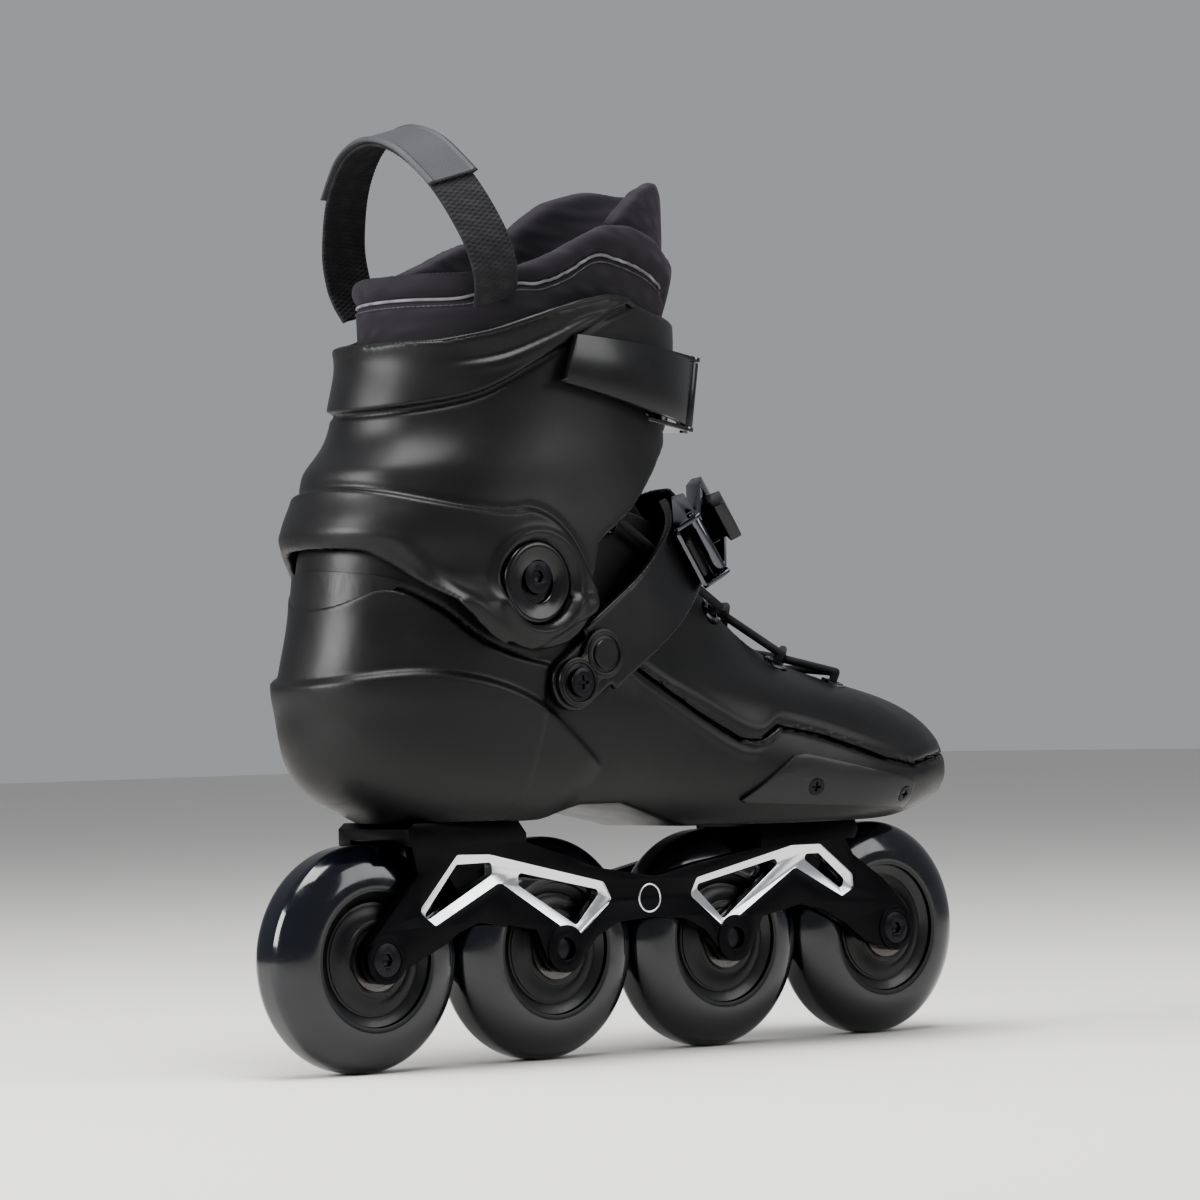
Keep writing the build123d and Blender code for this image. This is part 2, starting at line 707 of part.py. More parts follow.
ladder_end = strap_end(1, strap_t)
ladder_half = 7.5
with BuildPart() as instep_ladder:
    with BuildSketch(strap_plane):
        band(ladder_path, ladder_t)
    extrude(amount=strap_half, both=True)
    # Past the front the strap narrows to run through the buckle.
    with BuildSketch(Plane(origin=strap_plane.origin, x_dir=(0, -1, 0), z_dir=strap_plane.x_dir)):
        Polygon((-4, 30), (8, ladder_half), (60, ladder_half), (60, 30), align=None)
        Polygon((-4, -30), (8, -ladder_half), (60, -ladder_half), (60, -30), align=None)
    extrude(amount=140, mode=Mode.SUBTRACT)
    add(ladder_end)
instep_ladder.part.label = "instep_ladder"
export_step(instep_ladder.part, "parts/instep_ladder.step")

link_t = 2.0
link_in = strap_in + strap_t + 0.2
link_far = (15.5, 1.5)
link_r = 9.0
with BuildPart() as strap_links:
    for side in (-1, 1):
        with BuildSketch(side_plane(side * link_in)):
            with Locations(Location((strap_x, strap_z), strap_slope)):
                Circle(link_r)
                with Locations(link_far):
                    Circle(link_r)
                with Locations((8, 0.7)):
                    Rectangle(14, 12)
            with Locations((strap_x, strap_z)):
                Circle(screw_hole_r, mode=Mode.SUBTRACT)
        extrude(amount=-side * link_t)
strap_links.part.label = "strap_links"
export_step(strap_links.part, "parts/strap_links.step")

head_gap = 0.3
screw_seat = link_in + link_t + head_gap
with BuildPart() as strap_screws:
    for side in (-1, 1):
        with BuildSketch(side_plane(side * 39.8)):
            with Locations((strap_x, strap_z)):
                Circle(screw_r)
        extrude(amount=-side * (screw_seat - 39.8))
        with BuildSketch(side_plane(side * screw_seat)):
            with Locations((strap_x, strap_z)):
                Circle(5.1)
                Rectangle(5, 1.1, mode=Mode.SUBTRACT)
                Rectangle(1.1, 5, mode=Mode.SUBTRACT)
        extrude(amount=-side * 1.8)
        with BuildSketch(side_plane(side * screw_seat)):
            with Locations((strap_x, strap_z)):
                Circle(5.1)
        extrude(amount=-side * 0.6)
strap_screws.part.label = "strap_screws"
export_step(strap_screws.part, "parts/strap_screws.step")

# ---- instep buckle: its own x runs along the strap to the inner side, y up, z outward ----
seat_u, seat_v = 89.3, -23.6
along = strap_plane.x_dir * cos(radians(45)) + Vector(0, sin(radians(45)), 0)
outward = strap_plane.x_dir * cos(radians(45)) - Vector(0, sin(radians(45)), 0)
seat = Vector(strap_x, 0, strap_z) + strap_plane.x_dir * seat_u + Vector(0, seat_v, 0)
floor_plane = Plane(origin=seat, x_dir=along, z_dir=outward)
edge_plane = Plane(origin=seat, x_dir=along, z_dir=-floor_plane.y_dir)
lever_pin = (-9.0, 7.0)
release_pin = (13.0, 7.4)
ear_at = (11.4, 12.8)
lug_at = (7.9, 8.7)
with BuildPart() as instep_buckle_base:
    with BuildSketch(floor_plane.offset(0.2)):
        RectangleRounded(37, 25.6, 3)
    extrude(amount=1.5)
    for side in (-1, 1):
        with BuildSketch(edge_plane.offset(side * ear_at[0])):
            Polygon((-17, 0.2), (17, 0.2), (15, 5), (-5.5, 8.5), (-11, 10.5), (-13.5, 8), align=None)
            with Locations(lever_pin):
                Circle(pin_r, mode=Mode.SUBTRACT)
        extrude(amount=side * (ear_at[1] - ear_at[0]))
        with BuildSketch(edge_plane.offset(side * lug_at[0])):
            Polygon((8, 0.2), (18, 0.2), (16, 9.6), (10.4, 9.6), align=None)
            with Locations(release_pin):
                Circle(1.0, mode=Mode.SUBTRACT)
        extrude(amount=side * (lug_at[1] - lug_at[0]))
instep_buckle_base.part.label = "instep_buckle_base"
export_step(instep_buckle_base.part, "parts/instep_buckle_base.step")

with BuildPart() as instep_pins:
    with BuildSketch(edge_plane):
        with Locations(lever_pin):
            Circle(pin_r)
    extrude(amount=13.4, both=True)
    with BuildSketch(edge_plane):
        with Locations(release_pin):
            Circle(1.0)
    extrude(amount=lug_at[1], both=True)
instep_pins.part.label = "instep_pins"
export_step(instep_pins.part, "parts/instep_pins.step")

arm_at = (9.0, 11.0)
instep_barrel_r = 2.5
with BuildPart() as instep_lever:
    for side in (-1, 1):
        with BuildSketch(edge_plane.offset(side * arm_at[0])):
            with Locations(lever_pin):
                Circle(instep_barrel_r)
            Polygon((-9, 4.8), (26, 5.6), (27, 9.6), (18, 11.2), (-9, 10), align=None)
        extrude(amount=side * (arm_at[1] - arm_at[0]))
    with BuildSketch(edge_plane):
        Polygon((20.5, 6.2), (26, 5.6), (30, 8), (28, 12), (20.5, 11.4), align=None)
    extrude(amount=arm_at[1], both=True)
    with BuildSketch(edge_plane):
        with Locations(lever_pin):
            Circle(instep_barrel_r)
    extrude(amount=arm_at[1], both=True)
    with BuildSketch(edge_plane):
        with Locations(lever_pin):
            Circle(pin_r + 0.05)
    extrude(amount=20, both=True, mode=Mode.SUBTRACT)
instep_lever.part.label = "instep_lever"
export_step(instep_lever.part, "parts/instep_lever.step")

with BuildPart() as instep_release:
    with BuildSketch(edge_plane):
        with Locations(release_pin):
            Circle(2.4)
        Polygon((11, 6.2), (15, 6.2), (17.4, 10), (16, 17), (3, 18.5), (2.5, 14), (8.6, 12.5), align=None)
        with Locations(release_pin):
            Circle(1.05, mode=Mode.SUBTRACT)
    extrude(amount=7.5, both=True)
instep_release.part.label = "instep_release"
export_step(instep_release.part, "parts/instep_release.step")

# ---- laces: one lace crossed over the tongue, its ends running up to the ankle eyelets ----
lace_r = 1.6
lace_lift = 4.4


def lace_run(points):
    """A round lace through a row of points, rounded where it bends."""
    with BuildPart() as run:
        for start, end in zip(points, points[1:]):
            with BuildSketch(Plane(origin=start, z_dir=end - start)):
                Circle(lace_r)
            extrude(amount=(end - start).length)
        with Locations(*points):
            Sphere(lace_r)
    return run.part


lace_ends = [(place - normal * 1.2, place + normal * lace_lift) for place, normal in eyelet_places]
lace_runs = []
for lower, upper, rise in ((2, 6, 2.4), (2, 5, 2.4), (6, 1, 5.8), (1, 4, 2.4), (5, 0, 5.8)):
    middle_x = (lace_ends[lower][1].X + lace_ends[upper][1].X) / 2
    top, normal = surface(foot_outer, (middle_x, 0, 300), (0, 0, -1))
    over = top + normal * rise
    lace_runs.append(lace_run([lace_ends[lower][0], lace_ends[lower][1], over,
                               lace_ends[upper][1], lace_ends[upper][0]]))
for row, ankle in ((0, 3), (4, 7)):
    lace_runs.append(lace_run([lace_ends[row][0], lace_ends[row][1], lace_ends[ankle][1], lace_ends[ankle][0]]))
with BuildPart() as laces:
    for run in lace_runs:
        add(run)
laces.part.label = "laces"
export_step(laces.part, "parts/laces.step")

# ---- frame: two plates with windows, joined by decks that clear the wheels ----
plate_outline = [(-128.5, 46), (-107, 68.6), (-110, 80), (-62, 80), (-24.2, 68.2), (2.3, 64.2),
                 (23.6, 68.5), (68.3, 74.9), (96.1, 74.6), (100, 68.5), (115.6, 58.5), (128.5, 46),
                 (120, 31.7), (105.8, 35.9), (95.9, 42.8), (83.6, 48.9), (74, 51.2), (64, 49.2),
                 (54, 47.3), (49, 37), (32, 37), (26, 43.5), (16, 48.4), (0, 49.5), (-16, 48.4),
                 (-26, 43.5), (-32, 37), (-49, 37), (-54, 47.3), (-64, 49.2), (-80.3, 51.2),
                 (-89.3, 48), (-94.9, 44.4), (-112.7, 36.3), (-120, 31.7)]
boss_r = 8.5
rear_pocket = [(-107.2, 56.2), (-99.6, 50.6), (-70.3, 64.8), (-35.4, 43.7), (-18.8, 56.6),
               (-22.6, 63.2), (-74.8, 74.9), (-89.6, 75.3)]
front_pocket = [(18.4, 56.6), (21.9, 62.9), (69, 72.9), (83.6, 72.9), (99.4, 61.2), (99.9, 55.6),
                (94.3, 52.9), (71, 64.6), (35.6, 43.8)]
windows = [
    [(-108.4, 50.1), (-89.4, 71.9), (-73.5, 72.1), (-73.5, 67.7)],
    [(-61.6, 68.1), (-23.3, 60.2), (-35.1, 48.1), (-61.6, 63.5)],
    [(21, 60.1), (67.6, 69.6), (35.2, 47.2)],
    [(72.6, 69.5), (83.2, 69.5), (95.9, 59.4), (94.4, 55.6)],
]
window_fillet = 1.5
pocket_fillet = 2.0
pocket_depth = 0.8
head_r = 6.0
head_t = 2.4
thread_recess = 1.4


def rounded_slab(points, radius, y, depth):
    """A slab with a rounded outline, from one y towards smaller y."""
    with BuildPart() as slab:
        with BuildSketch(side_plane(y)) as outline:
            Polygon(*points, align=None)
            fillet(outline.vertices(), radius)
        extrude(amount=depth)
    return slab.part


pockets = [rounded_slab(points, pocket_fillet, y, pocket_depth)
           for points in (rear_pocket, front_pocket)
           for y in (-flange_out + pocket_depth, flange_out)]
openings = [rounded_slab(points, window_fillet, y, flange_out - flange_in + 1)
            for points in windows
            for y in (-flange_in + 0.5, flange_out + 0.5)]

with BuildPart() as frame:
    for y in (-flange_in, flange_out):
        with BuildSketch(side_plane(y)):
            Polygon(*plate_outline, align=None)
            with Locations(*[(x, axle_z) for x in wheel_xs]):
                Circle(boss_r)
        extrude(amount=flange_out - flange_in)
    # Decks under the boot, and the web between the middle wheels.
    with BuildSketch(side_plane(20)):
        Polygon((-113, 79), (-113, 85), (-110.5, rear_deck_z), (-64, rear_deck_z), (-60, 82), (-60, 79),
                align=None)
    extrude(amount=40)
    with BuildSketch(side_plane(flange_in)):
        Polygon((-106, 52), (-56, 52), (-56, 80), (-106, 80), align=None)
        Polygon((56, 52), (106, 52), (97, 74), (56, 73), align=None)
        Polygon((-13, 52), (13, 52), (13, 63), (-13, 63), align=None)
    extrude(amount=2 * flange_in)
    with BuildSketch(side_plane(flange_out)):
        Polygon((54, 72.6), (68.3, 74.8), (101, 74.5), (103, 78), (101, front_deck_z), (53, front_deck_z),
                align=None)
    extrude(amount=2 * flange_out)
    for x in wheel_xs:
        with BuildSketch(side_plane(flange_in)):
            with Locations((x, axle_z)):
                Circle(well_r)
        extrude(amount=2 * flange_in, mode=Mode.SUBTRACT)
    # Raised faces that clamp the inner rings of the bearings.
    for x in wheel_xs:
        for side in (-1, 1):
            with BuildSketch(side_plane(side * flange_in)):
                with Locations((x, axle_z)):
                    Circle(5.9)
            extrude(amount=side * (flange_in - hub_half))
    for slab in pockets + openings:
        add(slab, mode=Mode.SUBTRACT)
    # The legs lean in a little below a crease.
    for side in (-1, 1):
        with BuildSketch(Plane(origin=(-140, 0, 0), x_dir=(0, 1, 0), z_dir=(1, 0, 0))):
            Polygon((side * flange_out, 49.6), (side * (flange_out - 1), 30), (side * 19, 30),
                    (side * 19, 49.6), align=None)
        extrude(amount=280, mode=Mode.SUBTRACT)
        with BuildSketch(side_plane(side * (flange_out - 2))):
            with Locations(*[(x, axle_z) for x in wheel_xs]):
                Circle(boss_r)
        extrude(amount=-side * 2)
    # Axle bores, head recesses and the countersunk frame-bolt holes.
    for i, x in enumerate(wheel_xs):
        head_side = -1 if i in (0, 3) else 1
        with BuildSketch(side_plane(25)):
            with Locations((x, axle_z)):
                Circle(4.02)
        extrude(amount=50, mode=Mode.SUBTRACT)
        with BuildSketch(side_plane(head_side * (flange_out - head_t))):
            with Locations((x, axle_z)):
                Circle(head_r + 0.15)
        extrude(amount=-head_side * 5, mode=Mode.SUBTRACT)
    with BuildSketch(Plane.XY.offset(50)):
        with Locations((rear_mount_x, 0), (front_mount_x, 0)):
            Circle(4)
    extrude(amount=50, mode=Mode.SUBTRACT)
    with BuildSketch(Plane.XY.offset(50)):
        with Locations((rear_mount_x, 0), (front_mount_x, 0)):
            Circle(7)
    extrude(amount=26.5, mode=Mode.SUBTRACT)
frame.part.label = "frame"
export_step(frame.part, "parts/frame.step")

# ---- frame bolts and washers: they thread into the sole of the shell ----
head_z = 70.9
washer_z = 75.1
washer_t = 1.4
with BuildPart() as mount_bolts:
    for x, top in ((rear_mount_x, 97), (front_mount_x, 91.5)):
        with BuildSketch(Plane.XY.offset(head_z)):
            with Locations((x, 0)):
                Circle(6.2)
        extrude(amount=washer_z - head_z)
        with BuildSketch(Plane.XY.offset(head_z)):
            with Locations((x, 0)):
                RegularPolygon(2.9, 6)
        extrude(amount=3.2, mode=Mode.SUBTRACT)
        with BuildSketch(Plane.XY.offset(washer_z)):
            with Locations((x, 0)):
                Circle(3.9)
        extrude(amount=top - washer_z)
mount_bolts.part.label = "mount_bolts"
export_step(mount_bolts.part, "parts/mount_bolts.step")

with BuildPart() as mount_washers:
    with BuildSketch(Plane.XY.offset(washer_z)):
        with Locations((rear_mount_x, 0), (front_mount_x, 0)):
            Circle(6.8)
            Circle(4, mode=Mode.SUBTRACT)
    extrude(amount=washer_t)
mount_washers.part.label = "mount_washers"
export_step(mount_washers.part, "parts/mount_washers.step")

# ---- axles, inner rings and spacers: they stand still in the frame ----
axle_r = 3.98
with BuildPart() as axles:
    for i, x in enumerate(wheel_xs):
        head_side = -1 if i in (0, 3) else 1
        with BuildSketch(side_plane(head_side * flange_out)):
            with Locations((x, axle_z)):
                Circle(axle_r)
        extrude(amount=head_side * (2 * flange_out - thread_recess))
        with BuildSketch(side_plane(head_side * flange_out)):
            with Locations((x, axle_z)):
                Circle(head_r)
        extrude(amount=head_side * head_t)
        with BuildSketch(side_plane(head_side * flange_out)):
            with Locations((x, axle_z)):
                RegularPolygon(2.3, 6)
        extrude(amount=head_side * 1.8, mode=Mode.SUBTRACT)
axles.part.label = "axles"
export_step(axles.part, "parts/axles.step")

with BuildPart() as bearing_inner_rings:
    for x in wheel_xs:
        for side in (-1, 1):
            with BuildSketch(side_plane(side * hub_half)):
                with Locations((x, axle_z)):
                    Circle(6)
                    Circle(4, mode=Mode.SUBTRACT)
            extrude(amount=side * bearing_width)
bearing_inner_rings.part.label = "bearing_inner_rings"
export_step(bearing_inner_rings.part, "parts/bearing_inner_rings.step")

with BuildPart() as bearing_spacers:
    for x in wheel_xs:
        with BuildSketch(side_plane(spacer_half)):
            with Locations((x, axle_z)):
                Circle(5.6)
                Circle(4, mode=Mode.SUBTRACT)
        extrude(amount=2 * spacer_half)
bearing_spacers.part.label = "bearing_spacers"
export_step(bearing_spacers.part, "parts/bearing_spacers.step")

# ---- the four wheels: tyre, core, outer rings with shields, and balls ----
crown_r = wheel_diameter / 2
side_r = 25.0
pin_circle_r = 16.0
ball_r = 1.55
ball_circle_r = 7.9
for number, x in enumerate(wheel_xs, start=1):
    with BuildPart() as tyre:
        with BuildSketch(axle_plane(x)):
            with BuildLine():
                Polyline((-hub_half, side_r), (-9, core_r), (9, core_r), (hub_half, side_r))
                EllipticalCenterArc((tread_flat, side_r), hub_half - tread_flat, crown_r - side_r)
                Line((tread_flat, crown_r), (-tread_flat, crown_r))
                EllipticalCenterArc((-tread_flat, side_r), hub_half - tread_flat, crown_r - side_r, 90)
            make_face()
        revolve(axis=turned(x))
    tyre.part.label = f"tyre_{number}"
    export_step(tyre.part, f"parts/tyre_{number}.step")

    with BuildPart() as core:
        with BuildSketch(axle_plane(x)):
            Polygon((-9, 18), (9, 18), (9, core_r), (-9, core_r), align=None)
            Polygon((-4, 13), (4, 13), (4, 18), (-4, 18), align=None)
            Polygon((-11.7, bearing_outer_r), (11.7, bearing_outer_r), (11.7, 13.2), (10, 14), (-10, 14),
                    (-11.7, 13.2), align=None)
            Polygon((-5, 9.6), (5, 9.6), (5, bearing_outer_r), (-5, bearing_outer_r), align=None)
        revolve(axis=turned(x))
        with BuildSketch(side_plane(10)):
            with Locations((x, axle_z)):
                with PolarLocations(pin_circle_r, 12):
                    Circle(1.3)
        extrude(amount=20, mode=Mode.SUBTRACT)
    core.part.label = f"core_{number}"
    export_step(core.part, f"parts/core_{number}.step")

    with BuildPart() as outer_rings:
        with BuildSketch(axle_plane(x)):
            for side in (-1, 1):
                Polygon((side * 5, 9.5), (side * hub_half, 9.5), (side * hub_half, bearing_outer_r),
                        (side * 5, bearing_outer_r), align=None)
                for face in (5.4, 11.2):
                    Polygon((side * face, 6.4), (side * (face + 0.4), 6.4), (side * (face + 0.4), 9.6),
                            (side * face, 9.6), align=None)
        revolve(axis=turned(x))
    outer_rings.part.label = f"bearing_outer_rings_{number}"
    export_step(outer_rings.part, f"parts/bearing_outer_rings_{number}.step")

    with BuildPart() as balls:
        for side in (-1, 1):
            level = side * (spacer_half + bearing_width / 2)
            for turn in range(7):
                angle = radians(turn * 360 / 7)
                with Locations((x + ball_circle_r * cos(angle), level, axle_z + ball_circle_r * sin(angle))):
                    Sphere(ball_r)
    balls.part.label = f"bearing_balls_{number}"
    export_step(balls.part, f"parts/bearing_balls_{number}.step")
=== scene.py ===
# %% [markdown]
# An inline skate: a hard black boot on an aluminium frame with four wheels in a row. Everything here is
# built round it, in metres, in the same place.

# %% Load the frame
from math import cos, hypot, pi, radians, sin

import bmesh
import bpy
import numpy as np
from mathutils import Matrix, Vector
from mathutils.bvhtree import BVHTree


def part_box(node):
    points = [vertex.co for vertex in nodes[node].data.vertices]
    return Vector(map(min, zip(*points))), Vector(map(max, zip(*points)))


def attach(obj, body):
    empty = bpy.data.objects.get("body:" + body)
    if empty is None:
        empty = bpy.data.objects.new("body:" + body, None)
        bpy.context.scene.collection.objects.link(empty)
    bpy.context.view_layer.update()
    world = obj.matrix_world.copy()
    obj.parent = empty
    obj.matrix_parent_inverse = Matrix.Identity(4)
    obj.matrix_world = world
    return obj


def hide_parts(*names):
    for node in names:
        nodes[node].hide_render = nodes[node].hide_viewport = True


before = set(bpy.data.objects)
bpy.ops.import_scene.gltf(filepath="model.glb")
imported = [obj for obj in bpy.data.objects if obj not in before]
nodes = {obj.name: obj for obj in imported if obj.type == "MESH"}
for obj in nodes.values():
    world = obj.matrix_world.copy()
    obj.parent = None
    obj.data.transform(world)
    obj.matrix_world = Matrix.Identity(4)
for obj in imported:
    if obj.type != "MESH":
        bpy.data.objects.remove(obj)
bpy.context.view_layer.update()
mm = 0.001

# %% [markdown]
# A colour is written as a web hex value, which is sRGB. Shaders work on linear light, so one function
# converts it. Every shader node is added by one function too: it sets the node's own settings, then its
# sockets or links.

# %% Colour and node helpers
def linear(hex_colour):
    """A linear RGBA colour from an sRGB hex value such as "1d1d1f"."""
    channels = [int(hex_colour[i:i + 2], 16) / 255 for i in (0, 2, 4)]
    return [c / 12.92 if c <= 0.04045 else ((c + 0.055) / 1.055) ** 2.4 for c in channels] + [1.0]


def add_node(tree, kind, sockets=None, **settings):
    """Add a shader node, give it its settings, and set or link its sockets."""
    made = tree.nodes.new(kind)
    for name, value in settings.items():
        setattr(made, name, value)
    for name, value in (sockets or {}).items():
        if isinstance(value, bpy.types.NodeSocket):
            tree.links.new(value, made.inputs[name])
        else:
            made.inputs[name].default_value = value
    return made


def start_material(name):
    """An empty material, its tree, its coordinates in metres and its main shader."""
    material = bpy.data.materials.new(name)
    material.use_nodes = True
    tree = material.node_tree
    tree.nodes.clear()
    place = add_node(tree, "ShaderNodeTexCoord").outputs["Object"]
    shader = add_node(tree, "ShaderNodeBsdfPrincipled")
    add_node(tree, "ShaderNodeOutputMaterial", {"Surface": shader.outputs["BSDF"]})
    return material, tree, place, shader


def per_mm(size):
    """The scale of a noise texture whose features are a number of millimetres across."""
    return 1 / (size * mm)


# %% [markdown]
# The boot, the cuff and the straps are injection moulded plastic. The mould is spark eroded, which leaves a
# fine even grain: highlights are broad and soft. The real grain is about 0.1 mm, too fine to show, so it is
# drawn several times coarser. Handling leaves slightly smoother patches, so the roughness drifts over
# centimetres.

# %% Moulded plastic
def moulded_plastic(name, hex_colour, roughness, grain=0.55, depth=0.05, drift=0.06, coat=0.0):
    """Moulded plastic with a spark-eroded grain; grain and depth in millimetres, drift in roughness."""
    material, tree, place, shader = start_material(name)
    patches = add_node(tree, "ShaderNodeTexNoise", {"Vector": place, "Scale": per_mm(28), "Detail": 3.0})
    rough = add_node(tree, "ShaderNodeMapRange", {"Value": patches.outputs["Fac"], "From Min": 0.3,
                     "From Max": 0.7, "To Min": roughness - drift, "To Max": roughness + drift})
    tint = add_node(tree, "ShaderNodeMapRange", {"Value": patches.outputs["Fac"], "From Min": 0.3,
                    "From Max": 0.7, "To Min": 0.86, "To Max": 1.16})
    colour = add_node(tree, "ShaderNodeVectorMath", {0: linear(hex_colour)[:3]}, operation="SCALE")
    tree.links.new(tint.outputs["Result"], colour.inputs["Scale"])
    pores = add_node(tree, "ShaderNodeTexNoise", {"Vector": place, "Scale": per_mm(grain), "Detail": 2.0})
    relief = add_node(tree, "ShaderNodeBump", {"Height": pores.outputs["Fac"], "Strength": 0.5,
                      "Distance": depth * mm})
    tree.links.new(colour.outputs["Vector"], shader.inputs["Base Color"])
    tree.links.new(rough.outputs["Result"], shader.inputs["Roughness"])
    tree.links.new(relief.outputs["Normal"], shader.inputs["Normal"])
    shader.inputs["IOR"].default_value = 1.5
    shader.inputs["Specular IOR Level"].default_value = 0.36
    shader.inputs["Coat Weight"].default_value = coat
    shader.inputs["Coat Roughness"].default_value = 0.2
    return material


boot_nylon = moulded_plastic("nylon_spark_eroded_black", "121213", 0.42)
cuff_nylon = moulded_plastic("nylon_cuff_spark_eroded_black", "141415", 0.4)
strap_urethane = moulded_plastic("urethane_strap_satin_black", "121214", 0.34, grain=0.8, depth=0.04)
slider_nylon = moulded_plastic("nylon_slider_satin_grey", "252527", 0.34, grain=0.5, depth=0.05)
lever_acetal = moulded_plastic("acetal_lever_smooth_black", "101012", 0.24, grain=1.4, depth=0.015, coat=0.3)
core_nylon = moulded_plastic("nylon_wheel_core_black", "141416", 0.32, grain=0.9, depth=0.03)
label_rubber = moulded_plastic("rubber_label_grey", "3c3c3f", 0.58, grain=0.7, depth=0.07)
foam = moulded_plastic("eva_foam_charcoal", "2a2a2d", 0.8, grain=0.9, depth=0.12)
print("plastics made")

# %% [markdown]
# Polyurethane is cast round the nylon core in a polished mould, so the tyre is wet-glossy. It is a very dark
# navy. The flat sides come from the mould's inserts and are duller. Both have faint scuffs.

# %% Cast polyurethane
def cast_urethane(name, hex_colour, roughness, coat):
    """Cast polyurethane with faint scuffs that are rougher than the skin."""
    material, tree, place, shader = start_material(name)
    scuffs = add_node(tree, "ShaderNodeTexNoise", {"Vector": place, "Scale": per_mm(9), "Detail": 6.0,
                      "Roughness": 0.7})
    rough = add_node(tree, "ShaderNodeMapRange", {"Value": scuffs.outputs["Fac"], "From Min": 0.48,
                     "From Max": 0.78, "To Min": roughness, "To Max": roughness + 0.2})
    ripple = add_node(tree, "ShaderNodeTexNoise", {"Vector": place, "Scale": per_mm(14), "Detail": 1.0})
    relief = add_node(tree, "ShaderNodeBump", {"Height": ripple.outputs["Fac"], "Strength": 0.25,
                      "Distance": 0.2 * mm})
    tree.links.new(rough.outputs["Result"], shader.inputs["Roughness"])
    tree.links.new(relief.outputs["Normal"], shader.inputs["Normal"])
    shader.inputs["Base Color"].default_value = linear(hex_colour)
    shader.inputs["IOR"].default_value = 1.5
    shader.inputs["Coat Weight"].default_value = coat
    shader.inputs["Coat Roughness"].default_value = 0.06
    return material


tyre_crown = cast_urethane("polyurethane_polished_navy", "060913", 0.12, 0.5)
tyre_side = cast_urethane("polyurethane_moulded_side_black", "08090c", 0.32, 0.1)

# %% [markdown]
# Metals differ in how they were worked. Anodised aluminium is bead blasted and dyed, so it is dark and satin.
# The pockets were milled after that, so they are bright, with fine tool lines. Buckles and eyelets have a
# dark chrome plating. Screws are black oxide steel, and bearings are ground steel.

# %% Metals
def worked_metal(name, hex_colour, roughness, line_mm=0.0, grain_mm=0.6, depth=0.02):
    """A metal with tool lines of a spacing in millimetres, or an even grain where the spacing is 0."""
    material, tree, place, shader = start_material(name)
    if line_mm:
        lines = add_node(tree, "ShaderNodeTexWave", {"Vector": place, "Scale": per_mm(line_mm) / 20,
                         "Distortion": 1.5, "Detail": 2.0}, bands_direction="DIAGONAL")
    else:
        lines = add_node(tree, "ShaderNodeTexNoise", {"Vector": place, "Scale": per_mm(grain_mm)})
    height = lines.outputs["Fac"]
    wear = add_node(tree, "ShaderNodeTexNoise", {"Vector": place, "Scale": per_mm(12), "Detail": 5.0})
    rough = add_node(tree, "ShaderNodeMapRange", {"Value": wear.outputs["Fac"], "From Min": 0.35,
                     "From Max": 0.7, "To Min": roughness * 0.8, "To Max": roughness * 1.25})
    relief = add_node(tree, "ShaderNodeBump", {"Height": height, "Strength": 0.4, "Distance": depth * mm})
    tree.links.new(rough.outputs["Result"], shader.inputs["Roughness"])
    tree.links.new(relief.outputs["Normal"], shader.inputs["Normal"])
    shader.inputs["Base Color"].default_value = linear(hex_colour)
    shader.inputs["Metallic"].default_value = 1.0
    return material


anodised = worked_metal("aluminium_anodised_black", "1d1d1f", 0.36, grain_mm=0.5, depth=0.03)
milled = worked_metal("aluminium_milled_bright", "dcdee0", 0.2, line_mm=0.5)
black_chrome = worked_metal("chrome_plated_dark", "5c5d61", 0.13, grain_mm=3.0, depth=0.01)
oxide_steel = worked_metal("steel_black_oxide", "2e2e31", 0.34, grain_mm=0.6, depth=0.02)
ground_steel = worked_metal("steel_ground_bearing", "a4a5a6", 0.2, grain_mm=1.0, depth=0.01)
shield_steel = worked_metal("steel_pressed_shield", "6a6765", 0.3, grain_mm=0.8, depth=0.02)
zinc_steel = worked_metal("steel_zinc_plated", "b4b5b8", 0.28, grain_mm=0.8, depth=0.02)
print("metals made")

# %% [markdown]
# The liner is a knit with a purple cast over foam. Its loops are about 0.6 mm; they are drawn at 1.1 mm so
# that they show. Fibres that stand up catch the light at grazing angles, which is what sheen is for.

